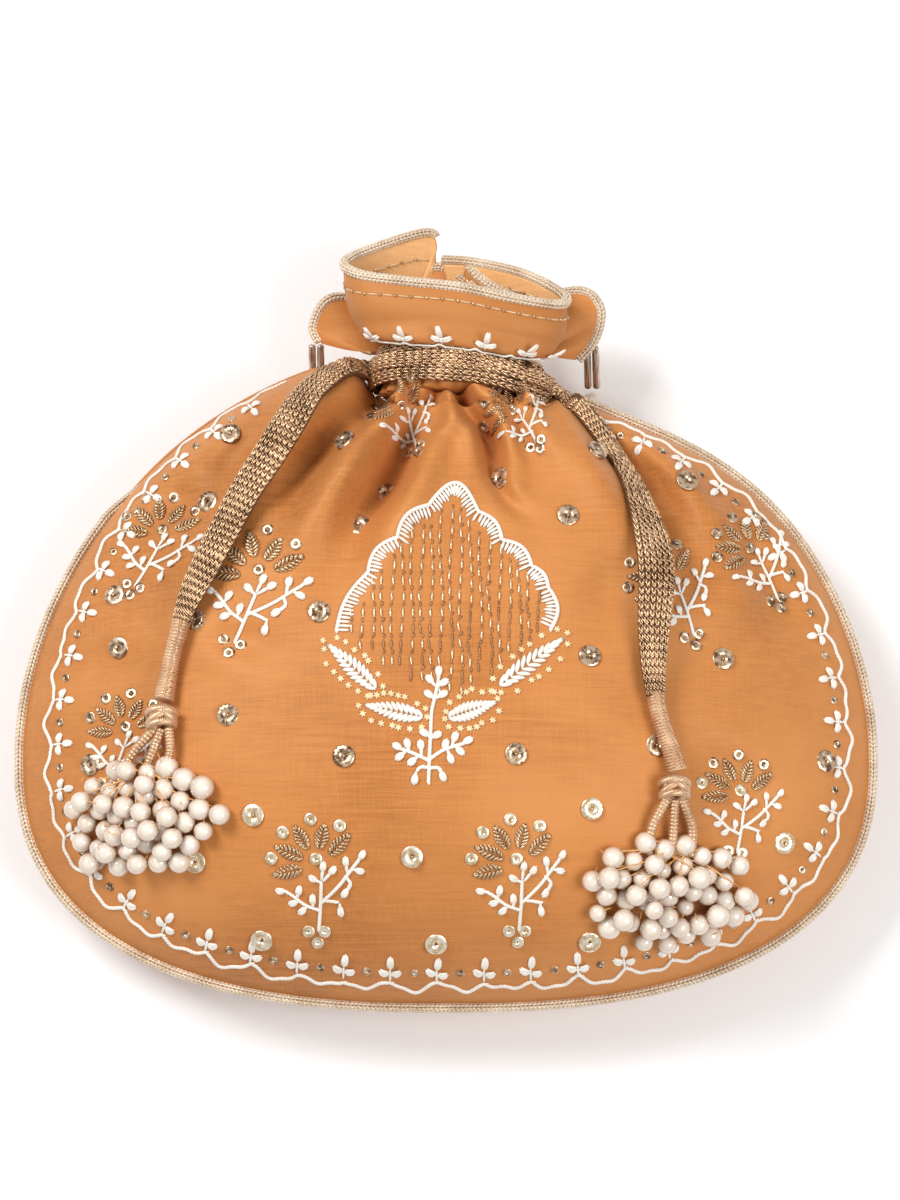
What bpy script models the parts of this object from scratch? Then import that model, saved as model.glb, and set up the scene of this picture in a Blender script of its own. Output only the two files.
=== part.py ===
"""A drawstring potli bag lying on its back: silk pouch, ruffled mouth, cords, tassels, bead handle.

Metres, +Z up out of the front panel, +Y towards the mouth, +X to the right of the front panel.
The bag rests on the flat patch of its back at z = 0.
"""

import bmesh
import bpy
import numpy as np
from mathutils import Matrix, Vector

# Pouch
HALF_WIDTH = 0.1262
UPPER_LENGTH = 0.1242
LOWER_LENGTH = 0.0752
WIDEST_Y = -0.0405
SEAM_Z = 0.028
FRONT_RISE = 0.050
BACK_DEPTH = 0.033
UPPER_POWER = 1.9
LOWER_POWER = 2.5
SHOULDER_DIP = dict(x=0.049, width=0.045, depth=0.0105)
NECK_DIP = dict(width=0.034, depth=0.019)
SEGMENTS = 64
FRONT_RINGS = (0.16, 0.32, 0.47, 0.6, 0.71, 0.8, 0.87, 0.93, 0.975, 1.0)
BACK_RINGS = (0.97, 0.92, 0.84, 0.74, 0.62, 0.5, 0.25)

# Gathered neck
NECK_X = 0.004
NECK_END_Y = 0.0785
NECK_FOOT_Y = 0.038
NECK_Z = 0.040
NECK_HALF_WIDTH = 0.0215
NECK_HALF_DEPTH = 0.013
NECK_FLARE = 0.034
NECK_SWELL = 0.004
NECK_SAG = 0.002
NECK_RINGS = 8
NECK_SIDES = 32

# Small parts
GAP = 0.0004
PIPING_RADIUS = 0.0013
RUFFLE_THICKNESS = 0.0012
CORD_HALF_THICKNESS = 0.0011
BELT_HALF_WIDTH = 0.0028
SLEEVE_RADIUS = 0.0027
TAIL_RADIUS = 0.0014
PEARL_RADIUS = 0.0033
PEARL_PITCH = 0.0046
PEARL_SQUASH = 0.6
PEARL_CROWN = 0.0012
PEARLS_AROUND = 5
STRAND_RADIUS = 0.0014
BUGLE_RADIUS = 0.0011
CORD_SIDES = 8
NARROW_UNDER = 0.8
BELT_UPPER_Y = 0.0745
BELT_LOWER_Y = 0.0684
KNOT_SIZE = (0.0052, 0.0046, 0.0042)
KNOT_LIFT = 0.0046
TAIL_SPREADS = (-0.0062, 0.0, 0.0062)
TAIL_LIFT = 0.0016
TAIL_TOP = 0.0056
TAIL_FOOT = 0.0150
BUNCH_ACROSS = 0.0078
BUNCH_ALONG = 0.0060
SLOPE_STEP = 0.002

# Routes over the front panel, as x, y and the half width of the flat cord there
LEFT_ROUTE = (
    (-0.0270, 0.0625, 0.0050), (-0.0350, 0.0605, 0.0056), (-0.0410, 0.0555, 0.0060),
    (-0.0440, 0.0480, 0.0058), (-0.0480, 0.0390, 0.0055), (-0.0535, 0.0300, 0.0052),
    (-0.0600, 0.0195, 0.0050), (-0.0655, 0.0095, 0.0046), (-0.0708, 0.0010, 0.0040),
    (-0.0755, -0.0065, 0.0032),
)
RIGHT_ROUTE = (
    (0.0355, 0.0600, 0.0036), (0.0420, 0.0560, 0.0037), (0.0470, 0.0500, 0.0036),
    (0.0505, 0.0415, 0.0038), (0.0535, 0.0310, 0.0048), (0.0570, 0.0200, 0.0058),
    (0.0592, 0.0080, 0.0058), (0.0595, -0.0060, 0.0052), (0.0590, -0.0190, 0.0042),
    (0.0597, -0.0300, 0.0030),
)
LEFT_SLEEVE = ((-0.0772, -0.0095), (-0.0786, -0.0155), (-0.0798, -0.0225), (-0.0808, -0.0300))
RIGHT_SLEEVE = ((0.0602, -0.0335), (0.0620, -0.0400), (0.0640, -0.0455), (0.0660, -0.0510))
LEFT_KNOT = (-0.0815, -0.0362)
RIGHT_KNOT = (0.0650, -0.0572)
LEFT_BUNCH = (-0.0880, -0.0645)
RIGHT_BUNCH = (0.0640, -0.0865)

# Mouth ruffle: rim and foot stations, walked in the same order
FRONT_RIM = (
    (-0.0030, 0.1090, 0.0330), (-0.0045, 0.1165, 0.0345), (-0.0200, 0.1110, 0.0390),
    (-0.0300, 0.1035, 0.0480), (-0.0255, 0.0975, 0.0560), (-0.0120, 0.0945, 0.0590),
    (0.0040, 0.0925, 0.0595), (0.0200, 0.0895, 0.0580), (0.0330, 0.0890, 0.0530),
    (0.0350, 0.0935, 0.0470), (0.0240, 0.1010, 0.0430), (0.0090, 0.1060, 0.0400),
)
FRONT_FOOT = (
    (-0.0060, 0.0800, 0.0340), (-0.0100, 0.0800, 0.0345), (-0.0165, 0.0800, 0.0370),
    (-0.0205, 0.0800, 0.0420), (-0.0170, 0.0800, 0.0480), (-0.0080, 0.0800, 0.0525),
    (0.0040, 0.0800, 0.0540), (0.0160, 0.0800, 0.0520), (0.0250, 0.0800, 0.0480),
    (0.0270, 0.0800, 0.0430), (0.0210, 0.0800, 0.0400), (0.0120, 0.0800, 0.0385),
)
BACK_RIM = (
    (-0.0375, 0.0840, 0.0300), (-0.0395, 0.0885, 0.0310), (-0.0345, 0.0960, 0.0350),
    (-0.0200, 0.0965, 0.0285), (0.0020, 0.0970, 0.0240), (0.0240, 0.0975, 0.0270),
    (0.0400, 0.0985, 0.0340), (0.0455, 0.0945, 0.0350), (0.0460, 0.0890, 0.0340),
    (0.0435, 0.0830, 0.0330), (0.0390, 0.0785, 0.0320),
)
BACK_FOOT = (
    (-0.0225, 0.0796, 0.0345), (-0.0222, 0.0800, 0.0335), (-0.0190, 0.0800, 0.0312),
    (-0.0110, 0.0800, 0.0285), (0.0030, 0.0800, 0.0270), (0.0170, 0.0800, 0.0285),
    (0.0265, 0.0800, 0.0318), (0.0285, 0.0800, 0.0335), (0.0290, 0.0798, 0.0342),
    (0.0293, 0.0796, 0.0349), (0.0295, 0.0794, 0.0356),
)

# Bead handle: down from the left ear, across under the shoulders, up to the right ear
HANDLE_ROUTE = (
    (-0.0398, 0.0755, 0.0140), (-0.0405, 0.0725, 0.0075), (-0.0435, 0.0670, 0.0028),
    (-0.0500, 0.0600, 0.0016), (-0.0560, 0.0540, 0.0016), (-0.0500, 0.0480, 0.0016),
    (-0.0360, 0.0490, 0.0016), (-0.0180, 0.0540, 0.0016), (0.0020, 0.0560, 0.0016),
    (0.0200, 0.0530, 0.0016), (0.0360, 0.0480, 0.0016), (0.0520, 0.0450, 0.0016),
    (0.0600, 0.0490, 0.0016), (0.0560, 0.0550, 0.0018), (0.0500, 0.0610, 0.0040),
    (0.0465, 0.0650, 0.0090),
)
LEFT_BUGLES = (-0.0398, 0.0773, 0.0160)
LEFT_BUGLE_REACH = (0.0, 0.0085, 0.0055)
LEFT_BUGLE_SHIFTS = (-0.0013, 0.0013)
HANDLE_PEARL = (0.0448, 0.0700, 0.0140)
RIGHT_BUGLE_RISE = (0.0028, 0.0040)
RIGHT_BUGLE_REACH = (-0.0006, 0.0115, 0.0080)
RIGHT_BUGLE_SHIFTS = (-0.0012, 0.0014)


def clear_scene():
    for item in list(bpy.data.objects):
        bpy.data.objects.remove(item, do_unlink=True)


def material(name, colour, roughness, metallic=0.0):
    made = bpy.data.materials.new(name)
    made.use_nodes = True
    shader = made.node_tree.nodes["Principled BSDF"]
    shader.inputs["Base Color"].default_value = (*colour, 1.0)
    shader.inputs["Roughness"].default_value = roughness
    shader.inputs["Metallic"].default_value = metallic
    return made


def mesh_object(name, points, faces, finish, smooth=True):
    mesh = bpy.data.meshes.new(name)
    mesh.from_pydata([tuple(p) for p in points], [], faces)
    body = bmesh.new()
    body.from_mesh(mesh)
    bmesh.ops.recalc_face_normals(body, faces=body.faces)
    body.to_mesh(mesh)
    body.free()
    mesh.materials.append(finish)
    if smooth:
        mesh.shade_smooth()
    made = bpy.data.objects.new(name, mesh)
    bpy.context.scene.collection.objects.link(made)
    return made


def smooth_path(points, count, by_station=False):
    """A Catmull-Rom curve through the points, read at even steps of length or of station."""
    knots = np.array(points, float)
    ends = np.vstack([2 * knots[0] - knots[1], knots, 2 * knots[-1] - knots[-2]])
    steps = np.linspace(0, 1, 24, endpoint=False)[:, None]
    runs = []
    for a, b, c, d in zip(ends, ends[1:], ends[2:], ends[3:]):
        cubic = (3 * (b - c) + d - a) * steps ** 3
        square = (2 * a - 5 * b + 4 * c - d) * steps ** 2
        runs.append(0.5 * (2 * b + (c - a) * steps + square + cubic))
    fine = np.vstack(runs + [knots[-1:]])
    along = np.concatenate([[0], np.cumsum(np.linalg.norm(np.diff(fine[:, :3], axis=0), axis=1))])
    if by_station:
        along = np.arange(len(fine), dtype=float)
    places = np.linspace(0, along[-1], count)
    return np.stack([np.interp(places, along, fine[:, i]) for i in range(fine.shape[1])], 1)


# The pouch's outline is a superellipse drawn in at the neck and on the right shoulder


def drawn_in(x):
    shoulder = SHOULDER_DIP["depth"] * np.exp(-((x - SHOULDER_DIP["x"]) / SHOULDER_DIP["width"]) ** 2)
    gather = NECK_DIP["depth"] * np.exp(-((x - NECK_X) / NECK_DIP["width"]) ** 8)
    return (shoulder ** 4 + gather ** 4) ** 0.25


def drawn_share(flat_y):
    share = np.clip((flat_y - WIDEST_Y) / UPPER_LENGTH, 0, 1)
    return share * share * (3 - 2 * share)


def outline(angle, scale=1.0):
    """Points of the outline, or of a ring inside it at this scale."""
    across, along = np.cos(angle), np.sin(angle)
    power = np.where(along > 0, 2 / UPPER_POWER, 2 / LOWER_POWER)
    length = np.where(along > 0, UPPER_LENGTH, LOWER_LENGTH)
    x = scale * HALF_WIDTH * np.sign(across) * np.abs(across) ** power
    flat_y = WIDEST_Y + scale * length * np.sign(along) * np.abs(along) ** power
    return x, flat_y - drawn_in(x) * drawn_share(flat_y), flat_y


def front_height(scale, flat_y):
    """The front panel bulges most in the middle and stays fuller towards the neck."""
    full = drawn_share(flat_y)
    left = np.clip(1 - scale ** (2.2 + 0.8 * full), 0, 1)
    return SEAM_Z + FRONT_RISE * left ** (0.8 - 0.2 * full)


def panel_height(x, y):
    """Height of the front panel over any point inside the outline."""
    flat_y = np.array(y, float)
    for _ in range(6):
        flat_y = y + drawn_in(x) * drawn_share(flat_y)
    power = np.where(flat_y > WIDEST_Y, UPPER_POWER, LOWER_POWER)
    length = np.where(flat_y > WIDEST_Y, UPPER_LENGTH, LOWER_LENGTH)
    scale = (np.abs(x / HALF_WIDTH) ** power + np.abs((flat_y - WIDEST_Y) / length) ** power)
    return front_height(np.clip(scale ** (1 / power), 0, 1), flat_y)


def back_height(scale):
    """The back bulges less and lies flat where it rests."""
    return np.maximum(0.0, SEAM_Z - BACK_DEPTH * (1 - scale ** 3) ** 0.8)


def neck_section(y):
    """Half width, half depth and middle height of the gathered neck."""
    inside = np.clip((NECK_END_Y - y) / (NECK_END_Y - NECK_FOOT_Y), 0, 1)
    half_width = NECK_HALF_WIDTH + NECK_FLARE * inside ** 2
    return half_width, NECK_HALF_DEPTH + NECK_SWELL * inside, NECK_Z - NECK_SAG * inside


def cover_height(x, y):
    """Height of what a cord lies on: the panel or the gathered neck."""
    half_width, half_depth, middle = neck_section(y)
    round_part = np.clip(1 - ((x - NECK_X) / half_width) ** 2, 0, 1)
    neck = np.where(round_part > 0, middle + half_depth * np.sqrt(round_part), 0.0)
    return np.maximum(panel_height(x, y), neck)


def cover_slope(x, y):
    """How steeply the panel rises along x and along y."""
    rise_x = cover_height(x + SLOPE_STEP, y) - cover_height(x - SLOPE_STEP, y)
    rise_y = cover_height(x, y + SLOPE_STEP) - cover_height(x, y - SLOPE_STEP)
    return rise_x / (2 * SLOPE_STEP), rise_y / (2 * SLOPE_STEP)


def resting_height(x, y, radius):
    """Height of the middle of a ball that lies on the panel's slope."""
    slope_x, slope_y = cover_slope(x, y)
    return cover_height(x, y) + radius * np.sqrt(1 + slope_x ** 2 + slope_y ** 2) + 2 * GAP


def make_pouch(silk):
    turn = np.linspace(0, 2 * np.pi, SEGMENTS, endpoint=False)
    angle = turn + 0.25 * np.sin(2 * turn)
    points = [(0.0, WIDEST_Y, SEAM_Z + FRONT_RISE)]
    for scale in FRONT_RINGS:
        x, y, flat_y = outline(angle, scale)
        points.extend(zip(x, y, front_height(np.full_like(x, scale), flat_y)))
    for scale in BACK_RINGS:
        x, y, _ = outline(angle, scale)
        points.extend(zip(x, y, np.full_like(x, back_height(scale))))
    points.append((0.0, WIDEST_Y, 0.0))
    last = len(points) - 1
    rings = len(FRONT_RINGS) + len(BACK_RINGS)
    faces = []
    for i in range(SEGMENTS):
        j = (i + 1) % SEGMENTS
        faces.append((0, 1 + i, 1 + j))
        for ring in range(rings - 1):
            a, b = 1 + ring * SEGMENTS, 1 + (ring + 1) * SEGMENTS
            faces.append((a + i, b + i, b + j, a + j))
        end = 1 + (rings - 1) * SEGMENTS
        faces.append((end + i, last, end + j))
    pouch = mesh_object("pouch", points, faces, silk)
    join = pouch.modifiers.new("neck", "BOOLEAN")
    join.operation = "UNION"
    join.solver = "EXACT"
    join.object = make_neck(silk)
    return pouch


def make_neck(silk):
    """The gathered neck, a lofted oval tube that the pouch is joined to."""
    stations = np.linspace(NECK_FOOT_Y, NECK_END_Y, NECK_RINGS)
    turn = np.linspace(0, 2 * np.pi, NECK_SIDES, endpoint=False)
    points = []
    for y in stations:
        half_width, half_depth, middle = neck_section(y)
        x = NECK_X + half_width * np.cos(turn)
        points.extend(zip(x, np.full_like(x, y), middle + half_depth * np.sin(turn)))
    faces = grid_faces(len(stations), len(turn))
    neck = mesh_object("neck_join", points, faces, silk)
    neck.hide_render = True
    neck.display_type = "WIRE"
    return neck


def grid_faces(rows, columns):
    """Quads of a tube of rings; its two ends are filled."""
    faces = []
    for row in range(rows - 1):
        for i in range(columns):
            j = (i + 1) % columns
            a, b = row * columns, (row + 1) * columns
            faces.append((a + i, a + j, b + j, b + i))
    faces.append(tuple(range(columns))[::-1])
    faces.append(tuple(range((rows - 1) * columns, rows * columns)))
    return faces


def make_tube(name, points, radius, finish, resolution=2):
    """A round cord: a bevelled curve with filled caps."""
    curve = bpy.data.curves.new(name, "CURVE")
    curve.dimensions = "3D"
    curve.bevel_depth = radius
    curve.bevel_resolution = resolution
    curve.use_fill_caps = True
    spline = curve.splines.new("POLY")
    spline.points.add(len(points) - 1)
    for spot, place in zip(spline.points, points):
        spot.co = (*place, 1.0)
    curve.materials.append(finish)
    made = bpy.data.objects.new(name, curve)
    bpy.context.scene.collection.objects.link(made)
    return made


def make_side_piping(finish):
    """The piping runs round the seam from one side of the neck to the other."""
    angle = np.linspace(np.radians(71), np.radians(-251), 68)
    x, y, _ = outline(angle)
    ahead = np.stack([np.gradient(x), np.gradient(y)], 1)
    ahead /= np.linalg.norm(ahead, axis=1)[:, None]
    out = np.stack([-ahead[:, 1], ahead[:, 0]], 1) * (PIPING_RADIUS + GAP)
    points = np.stack([x + out[:, 0], y + out[:, 1], np.full_like(x, SEAM_Z)], 1)
    return make_tube("side_piping", points, PIPING_RADIUS, finish)


def make_neck_cord(name, y, finish):
    """A flat knitted cord drawn right round the neck."""
    half_width, half_depth, middle = neck_section(y)
    turn = np.linspace(0, 2 * np.pi, 40, endpoint=False)
    around = np.linspace(0, 2 * np.pi, CORD_SIDES, endpoint=False)
    stand_off = CORD_HALF_THICKNESS + 3 * GAP
    points = []
    for a in turn:
        out = np.array([np.cos(a) / half_width, 0, np.sin(a) / half_depth])
        out /= np.linalg.norm(out)
        centre = np.array([NECK_X + half_width * np.cos(a), y, middle + half_depth * np.sin(a)])
        centre += out * stand_off
        for b in around:
            side = np.array([0, BELT_HALF_WIDTH * np.cos(b), 0])
            points.append(centre + side + out * CORD_HALF_THICKNESS * np.sin(b))
    faces = []
    for i in range(len(turn)):
        a, b = i * CORD_SIDES, (i + 1) % len(turn) * CORD_SIDES
        for k in range(CORD_SIDES):
            j = (k + 1) % CORD_SIDES
            faces.append((a + k, a + j, b + j, b + k))
    return mesh_object(name, points, faces, finish)


def lifted(route, lift):
    """Route points set this far above what they lie on."""
    knots = np.array(route, float)
    height = cover_height(knots[:, 0], knots[:, 1]) + lift
    return np.column_stack([knots[:, :2], height, knots[:, 2:]])


def make_flat_cord(name, route, lift, finish, narrow=1.0):
    """A flat cord over the front panel, its width across the panel's own slope."""
    path = smooth_path(route, 30)
    path = np.column_stack([path[:, :2], cover_height(path[:, 0], path[:, 1]) + lift, path[:, 2]])
    path[:, 2] = np.convolve(np.pad(path[:, 2], 2, "edge"), np.ones(5) / 5, "valid")
    around = np.linspace(0, 2 * np.pi, CORD_SIDES, endpoint=False)
    points = []
    for i, (x, y, z, half_width) in enumerate(path):
        ahead = path[min(i + 1, len(path) - 1), :3] - path[max(i - 1, 0), :3]
        slope_x, slope_y = cover_slope(x, y)
        up = np.array([-slope_x, -slope_y, 1.0])
        side = np.cross(ahead, up)
        side /= np.linalg.norm(side)
        up = np.cross(side, ahead)
        up /= np.linalg.norm(up)
        for b in around:
            offset = side * half_width * narrow * np.cos(b) + up * CORD_HALF_THICKNESS * np.sin(b)
            points.append(np.array([x, y, z]) + offset)
    return mesh_object(name, points, grid_faces(len(path), CORD_SIDES), finish)


def make_sleeve(name, route, finish):
    path = smooth_path(lifted(route, SLEEVE_RADIUS + 3 * GAP), 8)
    return make_tube(name, path[:, :3], SLEEVE_RADIUS, finish, resolution=3)


def make_knot(name, place, finish):
    body = bmesh.new()
    bmesh.ops.create_uvsphere(body, u_segments=14, v_segments=9, radius=1.0)
    height = cover_height(*place) + KNOT_LIFT
    shape = Matrix.Translation((*place, height)) @ Matrix.Diagonal((*KNOT_SIZE, 1))
    bmesh.ops.transform(body, matrix=shape, verts=body.verts)
    mesh = bpy.data.meshes.new(name)
    body.to_mesh(mesh)
    body.free()
    mesh.materials.append(finish)
    mesh.shade_smooth()
    made = bpy.data.objects.new(name, mesh)
    bpy.context.scene.collection.objects.link(made)
    return made


def make_tails(side, knot, bunch, finish):
    """Three wrapped tails fan out from the knot to the pearls."""
    for i, spread in enumerate(TAIL_SPREADS):
        start = np.array([knot[0] + 0.62 * spread, knot[1] - TAIL_TOP])
        end = np.array([bunch[0] + spread, bunch[1] + TAIL_FOOT])
        middle = 0.5 * (start + end) + np.array([0.1 * spread, 0])
        route = np.array([start, middle, end])
        path = smooth_path(lifted(route, TAIL_RADIUS + TAIL_LIFT), 6)
        make_tube(f"{side}_tassel_tail_{i + 1}", path, TAIL_RADIUS, finish)


def make_pearls(side, bunch, finish):
    """Each string of pearls is a rosette of touching beads."""
    for i, (across, along) in enumerate(((-1, 1), (1, 1), (-1, -1), (1, -1))):
        middle = np.array([bunch[0] + across * BUNCH_ACROSS, bunch[1] + along * BUNCH_ALONG])
        body = None
        for k in range(1 + PEARLS_AROUND):
            reach = PEARL_PITCH if k else 0.0
            angle = 2 * np.pi * k / PEARLS_AROUND
            x = middle[0] + reach * np.cos(angle)
            y = middle[1] + PEARL_SQUASH * reach * np.sin(angle)
            z = resting_height(x, y, PEARL_RADIUS) + (0.0 if k else PEARL_CROWN)
            bead = sphere_object(f"{side}_pearls_{i + 1}" if body is None else "bead_join", (x, y, z))
            if body is None:
                body = bead
                bead.data.materials.append(finish)
            else:
                bead.hide_render = True
                bead.display_type = "WIRE"
                join = body.modifiers.new("bead", "BOOLEAN")
                join.operation = "UNION"
                join.solver = "EXACT"
                join.object = bead


def sphere_object(name, place):
    body = bmesh.new()
    bmesh.ops.create_icosphere(body, subdivisions=1, radius=PEARL_RADIUS)
    bmesh.ops.translate(body, vec=Vector(place), verts=body.verts)
    mesh = bpy.data.meshes.new(name)
    body.to_mesh(mesh)
    body.free()
    mesh.shade_smooth()
    made = bpy.data.objects.new(name, mesh)
    bpy.context.scene.collection.objects.link(made)
    return made


def make_ruffle(name, rim, foot, columns, finish):
    """A ruffle is a strip of doubled cloth between its foot and its rim."""
    top = smooth_path(rim, columns, by_station=True)
    bottom = smooth_path(foot, columns, by_station=True)
    rows = np.linspace(0, 1, 5)
    points = []
    for rise in rows:
        points.extend(bottom + (top - bottom) * rise)
    faces = []
    for row in range(len(rows) - 1):
        for i in range(columns - 1):
            a, b = row * columns + i, (row + 1) * columns + i
            faces.append((a, a + 1, b + 1, b))
    made = mesh_object(name, points, faces, finish)
    wall = made.modifiers.new("doubled cloth", "SOLIDIFY")
    wall.thickness = RUFFLE_THICKNESS
    wall.offset = 0.0
    return made


def make_ruffle_piping(name, rim, foot, count, finish):
    top = smooth_path(rim, count, by_station=True)
    rise = top - smooth_path(foot, count, by_station=True)
    rise /= np.linalg.norm(rise, axis=1)[:, None]
    return make_tube(name, top + rise * (PIPING_RADIUS + 3 * GAP), PIPING_RADIUS, finish)


def make_handle(thread, glass, pearl):
    path = smooth_path(HANDLE_ROUTE, 60)
    make_tube("handle_strand", path, STRAND_RADIUS, thread)
    make_bugles("left", LEFT_BUGLES, LEFT_BUGLE_SHIFTS, LEFT_BUGLE_REACH, glass)
    sphere = sphere_object("handle_pearl_right", HANDLE_PEARL)
    sphere.data.materials.append(pearl)
    above = np.array(HANDLE_PEARL) + [0.0, *RIGHT_BUGLE_RISE]
    make_bugles("right", above, RIGHT_BUGLE_SHIFTS, RIGHT_BUGLE_REACH, glass)


def make_bugles(side, place, shifts, reach, glass):
    """Two bugle beads lie side by side where the handle leaves the ear."""
    for i, shift in enumerate(shifts):
        start = np.array(place) + [shift, 0.0, 0.0]
        make_tube(f"handle_bugle_{side}_{i + 1}", [start, start + np.array(reach)], BUGLE_RADIUS, glass)


def main():
    clear_scene()
    silk = material("silk", (0.64, 0.28, 0.09), 0.5)
    cord = material("knitted_cord", (0.36, 0.22, 0.11), 0.4, 0.6)
    gold = material("gold_braid", (0.75, 0.52, 0.32), 0.35, 0.8)
    pearl = material("pearl", (0.86, 0.78, 0.68), 0.2)
    glass = material("glass_bead", (0.35, 0.22, 0.15), 0.2, 0.4)
    make_pouch(silk)
    make_side_piping(gold)
    make_neck_cord("neck_cord_upper", BELT_UPPER_Y, cord)
    make_neck_cord("neck_cord_lower", BELT_LOWER_Y, cord)
    under = CORD_HALF_THICKNESS + 4 * GAP
    over = under + 2 * CORD_HALF_THICKNESS + 3 * GAP
    for side, route in (("left", LEFT_ROUTE), ("right", RIGHT_ROUTE)):
        make_flat_cord(f"{side}_drawstring_under", route, under, cord, narrow=NARROW_UNDER)
        make_flat_cord(f"{side}_drawstring_over", route, over, cord)
    make_sleeve("left_cord_sleeve", LEFT_SLEEVE, gold)
    make_sleeve("right_cord_sleeve", RIGHT_SLEEVE, gold)
    make_knot("left_tassel_knot", LEFT_KNOT, gold)
    make_knot("right_tassel_knot", RIGHT_KNOT, gold)
    make_tails("left", LEFT_KNOT, LEFT_BUNCH, gold)
    make_tails("right", RIGHT_KNOT, RIGHT_BUNCH, gold)
    make_pearls("left", LEFT_BUNCH, pearl)
    make_pearls("right", RIGHT_BUNCH, pearl)
    make_ruffle("ruffle_front", FRONT_RIM, FRONT_FOOT, 34, silk)
    make_ruffle("ruffle_back", BACK_RIM, BACK_FOOT, 31, silk)
    make_ruffle_piping("ruffle_front_piping", FRONT_RIM[1:], FRONT_FOOT[1:], 46, gold)
    make_ruffle_piping("ruffle_back_piping", BACK_RIM, BACK_FOOT, 41, gold)
    make_handle(cord, glass, pearl)


main()
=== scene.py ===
import bmesh
import bpy
import numpy as np
from mathutils import Matrix, Vector


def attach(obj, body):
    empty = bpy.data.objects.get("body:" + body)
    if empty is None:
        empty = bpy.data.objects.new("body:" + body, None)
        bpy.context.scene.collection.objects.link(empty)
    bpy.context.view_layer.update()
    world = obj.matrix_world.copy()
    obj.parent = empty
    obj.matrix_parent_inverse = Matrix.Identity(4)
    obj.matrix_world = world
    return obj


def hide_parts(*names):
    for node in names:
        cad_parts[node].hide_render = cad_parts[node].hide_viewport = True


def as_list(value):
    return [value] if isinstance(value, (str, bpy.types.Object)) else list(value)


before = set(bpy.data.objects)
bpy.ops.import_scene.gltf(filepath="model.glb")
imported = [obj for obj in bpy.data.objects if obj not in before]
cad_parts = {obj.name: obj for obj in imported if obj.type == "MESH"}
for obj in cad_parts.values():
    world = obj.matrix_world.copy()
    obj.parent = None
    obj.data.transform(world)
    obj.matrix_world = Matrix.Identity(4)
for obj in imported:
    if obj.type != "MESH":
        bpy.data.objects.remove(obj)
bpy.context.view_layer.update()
rng = np.random.default_rng(7)
straightUp = np.array([0, 0, 1.0])

# where the camera looks and how far it is tilted from straight above
view = dict(target=(0.0012, 0.0047, 0.030), distance=1.0, tilt=10.0, lens=100.0)


def addCamera():
    tilt = np.radians(view["tilt"])
    back = Vector((0, -np.sin(tilt), np.cos(tilt)))
    up = Vector((0, np.cos(tilt), np.sin(tilt)))
    spot = Vector(view["target"]) + back * view["distance"]
    eye = bpy.data.objects.new("camera", bpy.data.cameras.new("camera"))
    eye.data.lens = view["lens"]
    eye.data.sensor_width = 36
    eye.data.clip_start = 0.01
    rows = Matrix((Vector((1, 0, 0)), up, back)).transposed().to_4x4()
    eye.matrix_world = Matrix.Translation(spot) @ rows
    bpy.context.scene.collection.objects.link(eye)
    bpy.context.scene.camera = eye


def lengthsAlong(path):
    return np.concatenate([[0], np.cumsum(np.linalg.norm(np.diff(path, axis=0), axis=1))])


def readAlong(values, along, at):
    # each column of values read at the lengths in at
    return np.stack([np.interp(at, along, values[:, i]) for i in range(values.shape[1])], -1)


def smoothPath(points, count, byStation=False):
    # Catmull-Rom: half of (2b + (c-a)t + (2a-5b+4c-d)t2 + (3b-3c+d-a)t3), read at even steps
    knots = np.array(points, float)
    ends = np.vstack([2 * knots[0] - knots[1], knots, 2 * knots[-1] - knots[-2]])
    t = np.linspace(0, 1, 24, endpoint=False)[None, :, None]
    a, b, c, d = (ends[i:len(ends) - 3 + i, None, :] for i in range(4))
    run = 0.5 * (2 * b + (c - a) * t + (2 * a - 5 * b + 4 * c - d) * t ** 2 + (3 * (b - c) + d - a) * t ** 3)
    fine = np.vstack([run.reshape(-1, knots.shape[1]), knots[-1:]])
    along = np.arange(len(fine), dtype=float) if byStation else lengthsAlong(fine[:, :3])
    return readAlong(fine, along, np.linspace(0, along[-1], count))


def unit(v):
    return v / np.maximum(np.linalg.norm(v, axis=-1, keepdims=True), 1e-12)


def gridQuads(rows, columns, closeRows=False, closeColumns=False):
    # quad (r, c), (r, c+1), (r+1, c+1), (r+1, c) for every cell of the grid
    r = np.arange(rows if closeRows else rows - 1)[:, None]
    c = np.arange(columns if closeColumns else columns - 1)[None, :]
    rNext, cNext = (r + 1) % rows, (c + 1) % columns
    quads = [r * columns + c, r * columns + cNext, rNext * columns + cNext, rNext * columns + c]
    return np.stack([np.broadcast_to(q, np.broadcast(r, c).shape) for q in quads], -1).reshape(-1, 4)


def capFans(rows, columns):
    # triangles from one middle point to each end row; the two middle points come after the grid
    c = np.arange(columns)
    n = (c + 1) % columns
    pole, last = rows * columns, (rows - 1) * columns
    return np.vstack([np.stack([np.full(columns, pole), n, c], 1),
                      np.stack([np.full(columns, pole + 1), last + c, last + n], 1)])


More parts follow.
